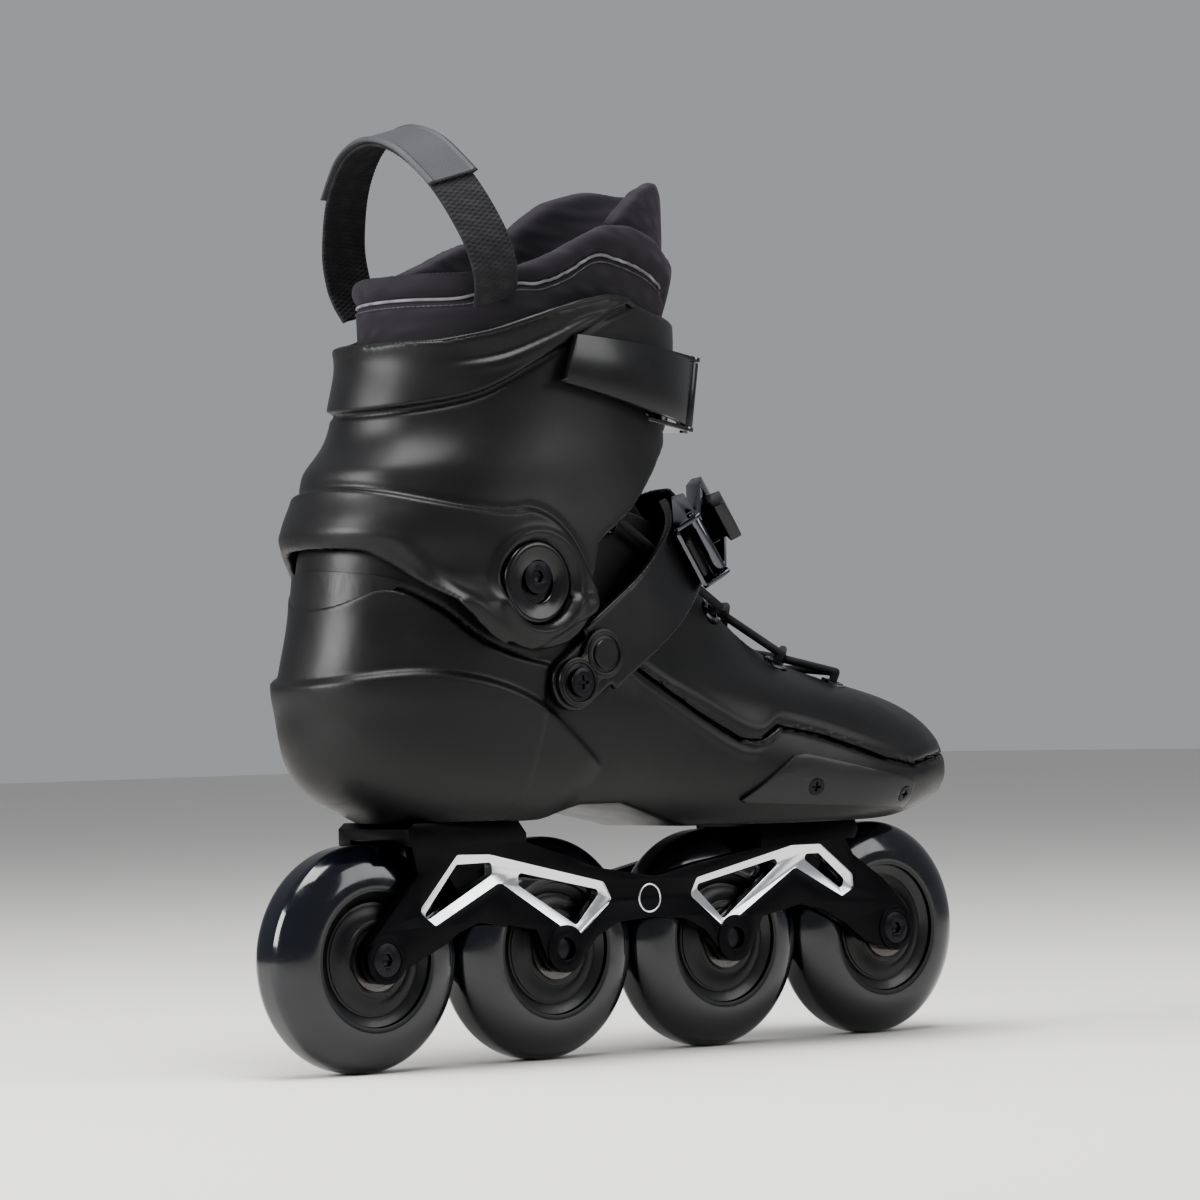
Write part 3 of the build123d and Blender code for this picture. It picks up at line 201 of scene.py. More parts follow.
# %% Fabrics
def knit(name, hex_colour, loop=1.1, depth=0.25, sheen=0.35):
    """A knitted or woven cloth: two crossing waves make the loops, noise makes them uneven."""
    material, tree, place, shader = start_material(name)
    bands = [add_node(tree, "ShaderNodeTexWave", {"Vector": place, "Scale": per_mm(loop) / 20,
                      "Distortion": 0.6, "Detail": 1.0, "Detail Scale": 2.0}, bands_direction=axis)
             for axis in ("DIAGONAL", "Z")]
    loops = add_node(tree, "ShaderNodeMath", {0: bands[0].outputs["Fac"], 1: bands[1].outputs["Fac"]},
                     operation="MULTIPLY")
    patches = add_node(tree, "ShaderNodeTexNoise", {"Vector": place, "Scale": per_mm(6), "Detail": 4.0})
    mixed = add_node(tree, "ShaderNodeMath", {0: loops.outputs[0], 1: patches.outputs["Fac"]},
                     operation="ADD")
    tint = add_node(tree, "ShaderNodeMapRange", {"Value": mixed.outputs[0], "From Min": 0.3, "From Max": 1.5,
                    "To Min": 0.6, "To Max": 1.35})
    colour = add_node(tree, "ShaderNodeVectorMath", {0: linear(hex_colour)[:3]}, operation="SCALE")
    tree.links.new(tint.outputs["Result"], colour.inputs["Scale"])
    relief = add_node(tree, "ShaderNodeBump", {"Height": loops.outputs[0], "Strength": 0.8,
                      "Distance": depth * mm})
    tree.links.new(colour.outputs["Vector"], shader.inputs["Base Color"])
    tree.links.new(relief.outputs["Normal"], shader.inputs["Normal"])
    shader.inputs["Roughness"].default_value = 0.85
    shader.inputs["Sheen Weight"].default_value = sheen
    shader.inputs["Sheen Roughness"].default_value = 0.45
    shader.inputs["Sheen Tint"].default_value = linear("6b6070")
    return material


liner_knit = knit("polyester_knit_black", "1b171e", sheen=0.2)
lining_mesh = knit("polyester_spacer_mesh_black", "1d1a20", loop=1.8, depth=0.4)
webbing_nylon = knit("nylon_webbing_charcoal", "1f1f22", loop=0.9, depth=0.1, sheen=0.1)
lace_polyester = knit("polyester_braid_black", "19191b", loop=1.0, depth=0.25, sheen=0.2)
piping_grey = knit("polyester_piping_grey", "77757a", loop=0.8, depth=0.1, sheen=0.2)
thread_grey = knit("polyester_thread_dark_grey", "4a484d", loop=0.5, depth=0.05, sheen=0.1)
print("fabrics made")

# %% [markdown]
# Three kinds of mesh work carry the pieces. Rigid pieces with crisp shapes keep the CAD form and get their
# edges eased with a bevel, because no real edge is a knife edge. Moulded shells are remeshed with small
# voxels and smoothed, and then their lines are pressed in by moving points along their normals. Round pieces
# are turned from a profile.

# %% Mesh helpers
def new_piece(name, mesh, body, material, replaced=()):
    """A new object that rides on a body, with its material and what it stands for."""
    piece = bpy.data.objects.new(name, mesh)
    bpy.context.scene.collection.objects.link(piece)
    mesh.materials.clear()
    mesh.materials.append(material)
    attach(piece, body)
    if replaced:
        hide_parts(*replaced)
    return piece


def apply_modifiers(piece):
    """Bake a piece's modifiers into its mesh."""
    graph = bpy.context.evaluated_depsgraph_get()
    baked = bpy.data.meshes.new_from_object(piece.evaluated_get(graph))
    piece.modifiers.clear()
    old = piece.data
    piece.data = baked
    bpy.data.meshes.remove(old)


def welded_copy(node):
    """A CAD node's mesh with its doubled corners joined."""
    mesh = nodes[node].data.copy()
    work = bmesh.new()
    work.from_mesh(mesh)
    bmesh.ops.remove_doubles(work, verts=work.verts, dist=0.002 * mm)
    work.to_mesh(mesh)
    work.free()
    return mesh


def round_shading(piece, angle=32):
    """Smooth shading that keeps edges sharper than an angle."""
    piece.data.shade_smooth()
    piece.data.set_sharp_from_angle(angle=radians(angle))


def eased(node, name, body, material, width=0.35):
    """A CAD piece with its sharp edges bevelled by a width in millimetres."""
    piece = new_piece(name, welded_copy(node), body, material, (node,))
    flat = piece.modifiers.new("flatten", "DECIMATE")
    flat.decimate_type = "DISSOLVE"
    flat.angle_limit = radians(1.0)
    bevel = piece.modifiers.new("ease", "BEVEL")
    bevel.width = width * mm
    bevel.segments = 2
    bevel.limit_method = "ANGLE"
    bevel.angle_limit = radians(38)
    bevel.use_clamp_overlap = True
    apply_modifiers(piece)
    round_shading(piece)
    return piece


def moulded(node, name, body, material, voxel, rounds):
    """A CAD piece remeshed with voxels of a size in millimetres and smoothed a number of times."""
    piece = new_piece(name, welded_copy(node), body, material, (node,))
    remesh = piece.modifiers.new("voxels", "REMESH")
    remesh.mode = "VOXEL"
    remesh.voxel_size = voxel * mm
    smooth = piece.modifiers.new("smooth", "SMOOTH")
    smooth.factor = 0.5
    smooth.iterations = rounds
    apply_modifiers(piece)
    piece.data.shade_smooth()
    print(name, len(piece.data.vertices), "points")
    return piece


def points_of(piece):
    """A piece's points and normals in millimetres, as arrays."""
    count = len(piece.data.vertices)
    places = np.empty(count * 3)
    normals = np.empty(count * 3)
    piece.data.vertices.foreach_get("co", places)
    piece.data.vertex_normals.foreach_get("vector", normals)
    return places.reshape(-1, 3) / mm, normals.reshape(-1, 3)


def set_points(piece, places):
    """Put a piece's points at places given in millimetres."""
    piece.data.vertices.foreach_set("co", (places * mm).ravel())
    piece.data.update()


# %% [markdown]
# The boot's lines are drawn in the side view, as a toolmaker draws them: a few points, joined by a smooth
# curve, in millimetres along X and Z. From each point of the shell, the signed distance to such a line says
# how far to press it in or out.

# %% Side-view lines
def smooth_line(points, steps=10):
    """A smooth curve through points, as closely spaced places."""
    ends = [points[0], *points, points[-1]]
    out = []
    for a, b, c, d in zip(ends, ends[1:], ends[2:], ends[3:]):
        for i in range(steps):
            t = i / steps
            out.append([0.5 * (2 * b[k] + (c[k] - a[k]) * t
                               + (2 * a[k] - 5 * b[k] + 4 * c[k] - d[k]) * t * t
                               + (3 * b[k] - a[k] - 3 * c[k] + d[k]) * t ** 3) for k in (0, 1)])
    out.append(list(points[-1]))
    return np.array(out)


def distance_to(line, places):
    """Signed side-view distance to a line, plus to its left, and how far along it the nearest place is."""
    start = line[:-1]
    run = np.diff(line, axis=0)
    flat = places[:, (0, 2)]
    best = np.full(len(flat), 1e9)
    side = np.zeros(len(flat))
    along = np.zeros(len(flat))
    for i in range(len(run)):
        offset = flat - start[i]
        t = np.clip(offset @ run[i] / max(run[i] @ run[i], 1e-9), 0, 1)
        gap = offset - t[:, None] * run[i]
        length = np.hypot(gap[:, 0], gap[:, 1])
        near = length < best
        best[near] = length[near]
        side[near] = np.sign(run[i][0] * gap[near, 1] - run[i][1] * gap[near, 0])
        along[near] = (i + t[near]) / len(run)
    return best * np.where(side == 0, 1, side), along


def ease(value):
    """A smooth ramp from 0 to 1 for values from 0 to 1."""
    t = np.clip(value, 0, 1)
    return t * t * (3 - 2 * t)


boot_middle = -40
cuff_middle = -56


def outward(places, normals, middle=boot_middle):
    """1 on the outer side of a wall that goes round the foot, 0 on its inner side."""
    away = places[:, :2] - np.array([middle, 0])
    away = away / np.maximum(np.hypot(away[:, 0], away[:, 1]), 1e-6)[:, None]
    return ease((np.sum(away * normals[:, :2], axis=1) - 0.1) / 0.3)


def groove(piece, points, depth, width, middle=boot_middle, fade=0.06):
    """Press a groove of a depth and width into the outer side along a side-view line."""
    places, normals = points_of(piece)
    gap, along = distance_to(smooth_line(points), places)
    ends = ease(along / fade) * ease((1 - along) / fade) if fade else 1
    push = depth * np.exp(-(gap / width) ** 2) * ends * outward(places, normals, middle)
    set_points(piece, places - normals * push[:, None])


def step(piece, points, height, width, reach, middle=boot_middle, fade=0.12):
    """Raise the outer side to the left of a side-view line; the step fades out over a reach."""
    places, normals = points_of(piece)
    gap, along = distance_to(smooth_line(points), places)
    ends = ease(along / fade) * ease((1 - along) / fade) if fade else 1
    shape = ease(gap / width + 0.5) * np.exp(-np.maximum(gap, 0) / reach)
    push = height * shape * ends * outward(places, normals, middle)
    set_points(piece, places + normals * push[:, None])


def polish(piece, points, width, rounds):
    """Smooth a piece again, most along a side-view line and less within a width of it."""
    places, _ = points_of(piece)
    gap, _ = distance_to(smooth_line(points), places)
    share = np.exp(-(gap / width) ** 2)
    group = piece.vertex_groups.new(name="polish")
    for i in np.nonzero(share > 0.02)[0]:
        group.add([int(i)], float(share[i]), "REPLACE")
    smooth = piece.modifiers.new("polish", "SMOOTH")
    smooth.factor = 0.5
    smooth.iterations = rounds
    smooth.vertex_group = "polish"
    apply_modifiers(piece)
    piece.vertex_groups.clear()


# %% [markdown]
# The boot is two mouldings: the shell, and the vamp above the groove that runs from the ankle to the toe. The
# heel cup stands proud of the shell with a peak under the badge, and below it the heel tucks in towards the
# frame.

# %% Boot shell and vamp
vamp_line = [(-62, 190), (-48, 166), (-24, 142), (5, 123.7), (24, 113.2), (33, 112.6), (41.5, 117.4),
             (59, 114), (88, 105), (106, 101.8), (118, 103.5), (140, 106)]
heel_step = [(-156, 153), (-139, 161.8), (-125.8, 168.5), (-110.4, 161.5), (-96.3, 150.7), (-82, 144.5),
             (-66, 141)]
heel_tuck = [(-40, 104), (-57.3, 117.6), (-68.9, 125.8), (-83.4, 132.8), (-100.7, 137.6), (-120.7, 139.6),
             (-143.3, 136.6), (-163, 129.8)]

shell = moulded("shell", "boot_shell", "boot", boot_nylon, voxel=1.0, rounds=7)
step(shell, heel_step[::-1], 1.7, 1.6, 22, fade=0.04)
groove(shell, [(x, z + 1.3) for x, z in heel_step], 0.7, 0.9, fade=0.04)
step(shell, heel_tuck, 2.4, 3.0, 34, fade=0.08)
groove(shell, vamp_line, 1.3, 1.7, fade=0.03)
groove(shell, [(x - 2.5, z - 4.5) for x, z in vamp_line[:6]], -0.5, 1.6)

vamp = moulded("vamp", "boot_vamp", "boot", boot_nylon, voxel=1.0, rounds=7)
groove(vamp, vamp_line, 1.3, 1.7, fade=0.03)
groove(vamp, [(x + 2, z + 5) for x, z in vamp_line], -0.45, 1.8)

# %% [markdown]
# The cuff wraps the ankle. A groove runs round under its collar and climbs to the front, below a dished band.
# A wave and the lower rim sweep from the back down to the pivot, and the pivot's disc sits in a raised ring.

# %% Cuff
collar_line = [(-140, 229.5), (-133, 229.7), (-111, 231.9), (-89.4, 237), (-69.7, 247.7), (-59.8, 253.6),
               (-46, 261.6), (-36, 266), (-24, 270)]
upper_wave = [(-46, 161), (-49.3, 167.6), (-55, 178), (-60.7, 186), (-67.9, 192), (-76.7, 195.2),
              (-87, 194.5), (-101.4, 196), (-115.7, 199), (-132.6, 204), (-150, 208)]
lower_rim = [(-160, 187), (-131, 182.5), (-121, 174.5), (-108, 160.5), (-96, 150.5), (-90, 147.5)]
collar_dish = [(-104, 246), (-84, 249), (-66, 256), (-50, 263), (-34, 266)]
rim_run = [(-112, 158), (-102, 152), (-94, 148), (-84, 145), (-72, 144)]

cuff = moulded("cuff", "cuff_shell", "cuff", cuff_nylon, voxel=0.85, rounds=12)
polish(cuff, rim_run, 9, 60)
step(cuff, upper_wave, 2.0, 2.4, 26, middle=cuff_middle, fade=0.04)
groove(cuff, [(x + 0.8, z + 1.4) for x, z in upper_wave], 0.5, 1.2, middle=cuff_middle)
step(cuff, collar_line, 1.8, 1.8, 40, middle=cuff_middle, fade=0)
groove(cuff, [(x, z - 1.0) for x, z in collar_line], 1.1, 1.1, middle=cuff_middle, fade=0)
step(cuff, collar_dish, -1.5, 2.6, 7, middle=cuff_middle, fade=0.25)
groove(cuff, [(x, z - 2.5) for x, z in collar_dish], -0.5, 2.0, middle=cuff_middle, fade=0.25)
groove(cuff, [(x + 1.5, z + 4.5) for x, z in lower_rim], -0.7, 2.2, middle=cuff_middle, fade=0.3)
pivot_x, cap_z = -75.0, 169.8
ring_r, ring_width, ring_height = 17.6, 1.9, 1.5
places, normals = points_of(cuff)
from_pivot = np.hypot(places[:, 0] - pivot_x, places[:, 2] - cap_z)
push = ring_height * np.exp(-((from_pivot - ring_r) / ring_width) ** 2)
push = push * outward(places, normals, cuff_middle)
set_points(cuff, places + np.sign(places[:, 1:2]) * push[:, None] * np.array([[0, 1, 0]]))

# %% [markdown]
# The smaller hard pieces keep their CAD form. Their edges are eased by a fraction of a millimetre, which is
# the radius a mould or a tumbling barrel leaves. The pieces hidden inside keep their CAD meshes as they are.

# %% Rigid pieces
rigid = [
    ("pivot_bolts", "boot", oxide_steel, "black_steel", 0.3),
    ("cuff_lever", "cuff_lever", lever_acetal, "lever_plastic", 0.8),
    ("cuff_buckle_base", "cuff", black_chrome, "black_chrome", 0.25),
    ("cuff_buckle_pin", "cuff", black_chrome, "black_chrome", 0.3),
    ("cuff_rivets", "cuff", black_chrome, "black_chrome", 0.3),
    ("strap_links", "instep_strap", strap_urethane, "strap_plastic", 0.7),
    ("strap_screws", "boot", oxide_steel, "black_steel", 0.25),
    ("instep_buckle_base", "instep_strap", black_chrome, "black_chrome", 0.25),
    ("instep_pins", "instep_strap", black_chrome, "black_chrome", 0.3),
    ("instep_lever", "instep_lever", black_chrome, "black_chrome", 0.35),
    ("instep_release", "instep_release", lever_acetal, "lever_plastic", 0.45),
    ("toe_slider_outer", "boot", slider_nylon, "slider_plastic", 0.5),
    ("toe_slider_inner", "boot", slider_nylon, "slider_plastic", 0.5),
    ("slider_screws", "boot", oxide_steel, "black_steel", 0.2),
    ("eyelets", "boot", black_chrome, "black_chrome", 0.5),
    ("axles", "boot", oxide_steel, "black_steel", 0.35),
]
for node, body, material, slot_name, width in rigid:
    eased(node, node + "_eased", body, material, width)
for node, material in (("bearing_inner_rings", ground_steel), ("bearing_spacers", ground_steel),
                       ("mount_bolts", oxide_steel), ("mount_washers", zinc_steel),
                       ("pivot_nuts", zinc_steel), ("footbed", foam), ("shock_absorber", foam)):
    nodes[node].data.materials.clear()
    nodes[node].data.materials.append(material)
print(len(rigid), "rigid pieces eased")

# %% [markdown]
# Straps are moulded from soft urethane. They are remeshed so that their edges round over as moulded edges
# do. The laces are remeshed too; the badge keeps its CAD form.

# %% Straps, badge and laces
for node, body, rounds in (("instep_strap_outer", "instep_strap", 4), ("instep_ladder", "instep_strap", 3),
                           ("cuff_strap", "cuff", 4)):
    name = node.replace("_outer", "") + "_moulded"
    moulded(node, name, body, strap_urethane, voxel=0.7, rounds=rounds)
eased("heel_badge", "heel_badge_leaf", "boot", cuff_nylon, 0.3)
moulded("laces", "laces_braided", "boot", lace_polyester, voxel=0.5, rounds=5)

# %% [markdown]
# The frame is one extrusion, bead blasted and anodised, then milled: the pockets round its windows are
# bright metal. Faces that lie deeper than the side, inside a pocket's outline, get the milled finish.

# %% Frame
frame_piece = eased("frame", "frame_extrusion", "boot", anodised, 0.3)
frame_piece.data.materials.append(milled)
rear_pocket = [(-107.2, 56.2), (-99.6, 50.6), (-70.3, 64.8), (-35.4, 43.7), (-18.8, 56.6), (-22.6, 63.2),
               (-74.8, 74.9), (-89.6, 75.3)]
front_pocket = [(18.4, 56.6), (21.9, 62.9), (69, 72.9), (83.6, 72.9), (99.4, 61.2), (99.9, 55.6),
                (94.3, 52.9), (71, 64.6), (35.6, 43.8)]
flange_in, flange_out = 13.4, 17.6


def inside(outline, x, z, grow=0.6):
    """Whether a side-view place is inside an outline, or within a small distance of its edge."""
    crossings = False
    nearest = 1e9
    for (x0, z0), (x1, z1) in zip(outline, outline[1:] + outline[:1]):
        if (z0 > z) != (z1 > z) and x < (x1 - x0) * (z - z0) / (z1 - z0) + x0:
            crossings = not crossings
        run = Vector((x1 - x0, z1 - z0))
        t = min(max((Vector((x - x0, z - z0)) @ run) / run.length_squared, 0), 1)
        nearest = min(nearest, (Vector((x - x0, z - z0)) - t * run).length)
    return crossings or nearest < grow


bright = 0
for face in frame_piece.data.polygons:
    x, y, z = face.center / mm
    deep = flange_in < abs(y) < flange_out - 0.06
    if deep and (inside(rear_pocket, x, z) or inside(front_pocket, x, z)):
        face.material_index = 1
        bright += 1
print("milled faces", bright)

# %% [markdown]
# A wheel's tyre is turned: a straight side, a rounded crown and a narrow flat tread. The profile is a half
# section swept round the axle in small steps, so its outline is round even close up.

# %% Wheels
wheel_r = 40.0
axle_z = 40.0
half_width = 12.0
side_r = 25.0
seat_r = 20.0
tread = 3.0


def turned_piece(name, profile, centre_x, centre_z=axle_z, segments=160):
    """A mesh turned about a line along Y from a closed profile of (y, radius) places in millimetres."""
    verts, faces = [], []
    count = len(profile)
    for i in range(segments):
        a = 2 * pi * i / segments
        for y, r in profile:
            verts.append(((centre_x + r * cos(a)) * mm, y * mm, (centre_z + r * sin(a)) * mm))
    for i in range(segments):
        for j in range(count):
            a, b = i * count + j, i * count + (j + 1) % count
            c, d = (i + 1) % segments * count + (j + 1) % count, (i + 1) % segments * count + j
            faces.append((a, b, c, d))
    mesh = bpy.data.meshes.new(name)
    mesh.from_pydata(verts, [], faces)
    work = bmesh.new()
    work.from_mesh(mesh)
    bmesh.ops.recalc_face_normals(work, faces=work.faces)
    work.to_mesh(mesh)
    work.free()
    return mesh


crown = [(tread + (half_width - tread) * sin(radians(a)), side_r + (wheel_r - side_r) * cos(radians(a)))
         for a in range(0, 91, 6)]
shoulder = [(half_width - 0.25, side_r - 1.2), (half_width - 1.6, 23.4), (half_width - 2.1, 22.2),
            (9.2, seat_r + 0.6), (8.8, seat_r)]
half_profile = [*crown, *shoulder]
tyre_profile = half_profile + [(-y, r) for y, r in reversed(half_profile)]
for number in range(1, 5):
    low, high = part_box(f"tyre_{number}")
    centre_x = (low[0] + high[0]) / 2 / mm
    mesh = turned_piece(f"tyre_{number}_cast", tyre_profile, centre_x)
    tyre = new_piece(f"tyre_{number}_cast", mesh, f"wheel_{number}", tyre_crown,
                     (f"tyre_{number}",))
    mesh.materials.append(tyre_side)
    for face in mesh.polygons:
        x, _, z = face.center / mm
        if hypot(x - centre_x, z - axle_z) < side_r + 0.4:
            face.material_index = 1
    round_shading(tyre, 40)
    eased(f"core_{number}", f"core_{number}_moulded", f"wheel_{number}", core_nylon, 0.25)
    for node, material in ((f"bearing_outer_rings_{number}", shield_steel),
                           (f"bearing_balls_{number}", ground_steel)):
        nodes[node].data.materials.clear()
        nodes[node].data.materials.append(material)
print("tyre profile", len(tyre_profile), "places")

# %% [markdown]
# The liner is knit sewn over foam. It is soft: its top edge rolls over, a padded band runs round it, and a
# pale piping with small stitches marks the seam. The CAD solid gives the place; smoothing and swelling make
# it soft. Its rear quarters are pushed out to a squarer outline, and the tongue's front top is lowered.

# %% Liner and tongue
liner = moulded("liner_cuff", "liner_ankle", "cuff", liner_knit, voxel=1.3, rounds=14)
tongue = moulded("tongue_top", "tongue_upper", "cuff", liner_knit, voxel=1.3, rounds=30)
liner_low = moulded("liner_foot", "liner_sock", "boot", lining_mesh, voxel=1.6, rounds=6)
tongue_low = moulded("tongue_base", "tongue_lower", "boot", liner_knit, voxel=0.9, rounds=5)
piping_line = [(-125.5, 270.6), (-104, 270.2), (-90, 270.4), (-75.4, 275), (-65.7, 275.4), (-53.3, 279.6),
               (-40.7, 285.8), (-28.3, 284.8), (-9.5, 280.2), (4, 274.3)]


def swell(piece, amount, size):
    """Uneven fullness of a padded piece: slow waves along its normals, in millimetres."""
    places, normals = points_of(piece)
    wave = (np.sin(places[:, 0] / size + 0.6) * np.sin(places[:, 2] / (0.8 * size) + 1.1)
            + 0.5 * np.sin(places[:, 1] / (0.7 * size) + places[:, 2] / (1.3 * size)))
    set_points(piece, places + normals * (amount * wave)[:, None])


liner_middle = -42
corner_out = 4.0
tongue_drop = 7.0
places, _ = points_of(liner)
round_liner = np.arctan2(places[:, 1], places[:, 0] - liner_middle)
corner = np.sin(2 * round_liner) ** 2 * ease((liner_middle - places[:, 0]) / 12)
away = np.stack([np.cos(round_liner), np.sin(round_liner), np.zeros(len(places))], axis=1)
set_points(liner, places + corner_out * corner[:, None] * away)
places, _ = points_of(tongue)
lowered = tongue_drop * ease((places[:, 0] - 2) / 22) * ease((places[:, 2] - 280) / 25)
set_points(tongue, places - lowered[:, None] * np.array([[0, 0, 1]]))
swell(liner, 0.45, 9.0)
swell(tongue, 0.55, 11.0)
groove(liner, piping_line, 1.3, 1.6, middle=-45, fade=0)
groove(liner, [(x, z + 5.5) for x, z in piping_line], -1.2, 3.6, middle=-45, fade=0)

# %% [markdown]
# The piping is a round cord in a folded tape. Its route is found by looking in at the liner's wall from all
# round, at the seam's height, where a ray meets the wall. The stitches follow a second such route below it.

# %% Piping and stitches
def surface_tree(piece):
    """A search tree of a piece's faces."""
    places = [v.co for v in piece.data.vertices]
    return BVHTree.FromPolygons(places, [f.vertices for f in piece.data.polygons])


def round_tube(name, route, radius, sides=10):
    """A tube mesh along a row of places in metres, closed at both ends."""
    verts, faces = [], []
    for i, place in enumerate(route):
        ahead = (route[min(i + 1, len(route) - 1)] - route[max(i - 1, 0)]).normalized()
        across = ahead.cross(Vector((0, 0, 1))).normalized()
        up = across.cross(ahead)
        for k in range(sides):
            a = 2 * pi * k / sides
            verts.append(place + (across * cos(a) + up * sin(a)) * radius * mm)
    for i in range(len(route) - 1):
        for k in range(sides):
            n = (k + 1) % sides
            faces.append((i * sides + k, i * sides + n, (i + 1) * sides + n, (i + 1) * sides + k))
    faces.append(tuple(range(sides))[::-1])
    faces.append(tuple(range(len(verts) - sides, len(verts))))
    mesh = bpy.data.meshes.new(name)
    mesh.from_pydata([tuple(v) for v in verts], [], faces)
    mesh.shade_smooth()
    return mesh


def seam_round(tree, line, lift, middle=(-45, 0)):
    """Places on a wall round its middle, at the height of a side-view line, from one front to the other."""
    curve = smooth_line(line)

    def height_at(x):
        """The line's height at a place along X."""
        return float(np.interp(x, curve[:, 0], curve[:, 1]))

    route = []
    for turn in range(-146, 147, 2):
        a = radians(180 + turn)
        ray = Vector((cos(a), sin(a), 0))
        z = height_at(middle[0] + 60 * ray.x)
        for _ in range(3):
            start = Vector((middle[0], middle[1], z)) * mm + ray * 0.2
            hit, normal, _, _ = tree.ray_cast(start, -ray)
            if hit is None:
                break
            z = height_at(hit.x / mm)
        if hit is not None:
            route.append(hit + normal * lift * mm)
    return route


# The collar ends in a rolled lip, which is laid along the highest places of the cuff's wall.
lip_step = radians(2)
lip_r, lip_sink = 1.35, 0.5
collar_from = 225
top_band = 0.9
cuff_places, _ = points_of(cuff)
bearing = np.arctan2(cuff_places[:, 1], cuff_places[:, 0] - cuff_middle)
tops = []
for i in range(180):
    near = np.abs((bearing - i * lip_step + pi) % (2 * pi) - pi) < lip_step
    near &= cuff_places[:, 2] > collar_from
    if near.any():
        here = cuff_places[near]
        tops.append(here[here[:, 2] > here[:, 2].max() - top_band].mean(axis=0))
tops = np.array(tops)
front = int(np.argmax(np.linalg.norm(np.diff(tops, axis=0), axis=1))) + 1
print("lip places", len(tops), "widest gap", np.linalg.norm(tops[front] - tops[front - 1]))
tops = np.roll(tops, -front, axis=0)
for _ in range(6):
    tops[1:-1] = (tops[:-2] + 2 * tops[1:-1] + tops[2:]) / 4
lip_route = [Vector(place - np.array([0, 0, lip_sink])) * mm for place in tops]
new_piece("cuff_lip", round_tube("cuff_lip", lip_route, lip_r), "cuff", cuff_nylon)

liner_tree = surface_tree(liner)
piping_route = seam_round(liner_tree, piping_line, 0.5)
piping = round_tube("liner_piping", piping_route, 0.6)
new_piece("liner_piping", piping, "cuff", piping_grey)
stitch_below = 2.6
stitch_size = Matrix.Diagonal((1.1 * mm, 0.32 * mm, 0.32 * mm, 1))
longest_stitch = 8 * mm
stitch_route = seam_round(liner_tree, [(x, z - stitch_below) for x, z in piping_line], 0.15)
stitch_mesh = bpy.data.meshes.new("liner_stitches")
work = bmesh.new()
stitches = 0
for a, b in zip(stitch_route, stitch_route[1:]):
    if (b - a).length > longest_stitch:
        continue
    turn = (b - a).to_track_quat("X", "Z").to_matrix().to_4x4()
    spot = Matrix.Translation((a + b) / 2) @ turn @ stitch_size
    bmesh.ops.create_uvsphere(work, u_segments=8, v_segments=6, radius=1.0, matrix=spot)
    stitches += 1
work.to_mesh(stitch_mesh)
work.free()
new_piece("liner_stitches", stitch_mesh, "cuff", thread_grey)
print("piping places", len(piping_route), "stitches", stitches)

# %% [markdown]
# The pull loop is nylon webbing, woven in a coarse pattern with a thick edge. Each rib is about 1.7 mm long,
# large enough to model: the strip is a fine grid whose points rise and fall where the yarns cross.

# %% Pull loop
loop_lean = 15.7
loop_origin = Vector((-84, 0, 272))
loop_up = Vector((-sin(radians(loop_lean)), 0, cos(radians(loop_lean))))
loop_across = Vector((cos(radians(loop_lean)), 0, sin(radians(loop_lean))))
loop_path = [(-36.6, -3), (-39.6, 3), (-40.8, 10), (-38.6, 22), (-29, 40), (-15, 53), (0, 57.5), (15, 53),
             (29, 40), (38.6, 22), (40.8, 10), (39.6, 3), (36.6, -3)]


def ribbon(name, path, thickness, half_width, relief, cell=0.4):
    """A closed strip along a path in the loop's plane; relief gives the height of a place on its faces."""
    line = smooth_line(path, 40)
    steps = np.concatenate([[0], np.cumsum(np.hypot(*np.diff(line, axis=0).T))])
    count = int(steps[-1] / cell)
    lengths = np.linspace(0, steps[-1], count)
    centre = np.stack([np.interp(lengths, steps, line[:, k]) for k in (0, 1)], axis=1)
    tangent = np.gradient(centre, axis=0)
    tangent /= np.hypot(tangent[:, 0], tangent[:, 1])[:, None]
    normal = np.stack([-tangent[:, 1], tangent[:, 0]], axis=1)
    columns = int(2 * half_width / cell)
    ring = [(v, 1) for v in np.linspace(-half_width, half_width, columns)]
    ring += [(v, -1) for v in np.linspace(half_width, -half_width, columns)]
    verts, faces = [], []
    for i in range(count):
        for v, face in ring:
            edge = (half_width - abs(v)) / (0.5 * thickness)
            swell_here = min(1.0, (max(edge, 0.0)) ** 0.5 * 0.8 + 0.2)
            height = 0.5 * thickness * swell_here + relief(lengths[i], v)
            x, y = centre[i] + normal[i] * face * height
            verts.append(tuple((loop_origin + Vector((0, 1, 0)) * x + loop_up * y + loop_across * v) * mm))
    size = len(ring)
    for i in range(count - 1):
        for k in range(size):
            n = (k + 1) % size
            faces.append((i * size + k, (i + 1) * size + k, (i + 1) * size + n, i * size + n))
    faces.append(tuple(range(size)))
    faces.append(tuple(range((count - 1) * size, count * size))[::-1])
    mesh = bpy.data.meshes.new(name)
    mesh.from_pydata(verts, [], faces)
    mesh.shade_smooth()
    return mesh


def sideways(path, distance):
    """A path moved to its left."""
    line = np.array(path, dtype=float)
    run = np.gradient(line, axis=0)
    run /= np.hypot(run[:, 0], run[:, 1])[:, None]
    return [(x - ry * distance, y + rx * distance) for (x, y), (rx, ry) in zip(line, run)]


rib_length, rib_width, rib_height = 1.7, 2.2, 0.22


def woven(length, across):
    """Ribs of webbing: yarns across the strip, offset by half a rib between neighbouring columns."""
    column = round(across / rib_width)
    wave = sin(2 * pi * (length / rib_length + 0.5 * (column % 2)))
    return rib_height * wave * abs(cos(pi * across / rib_width)) ** 0.5


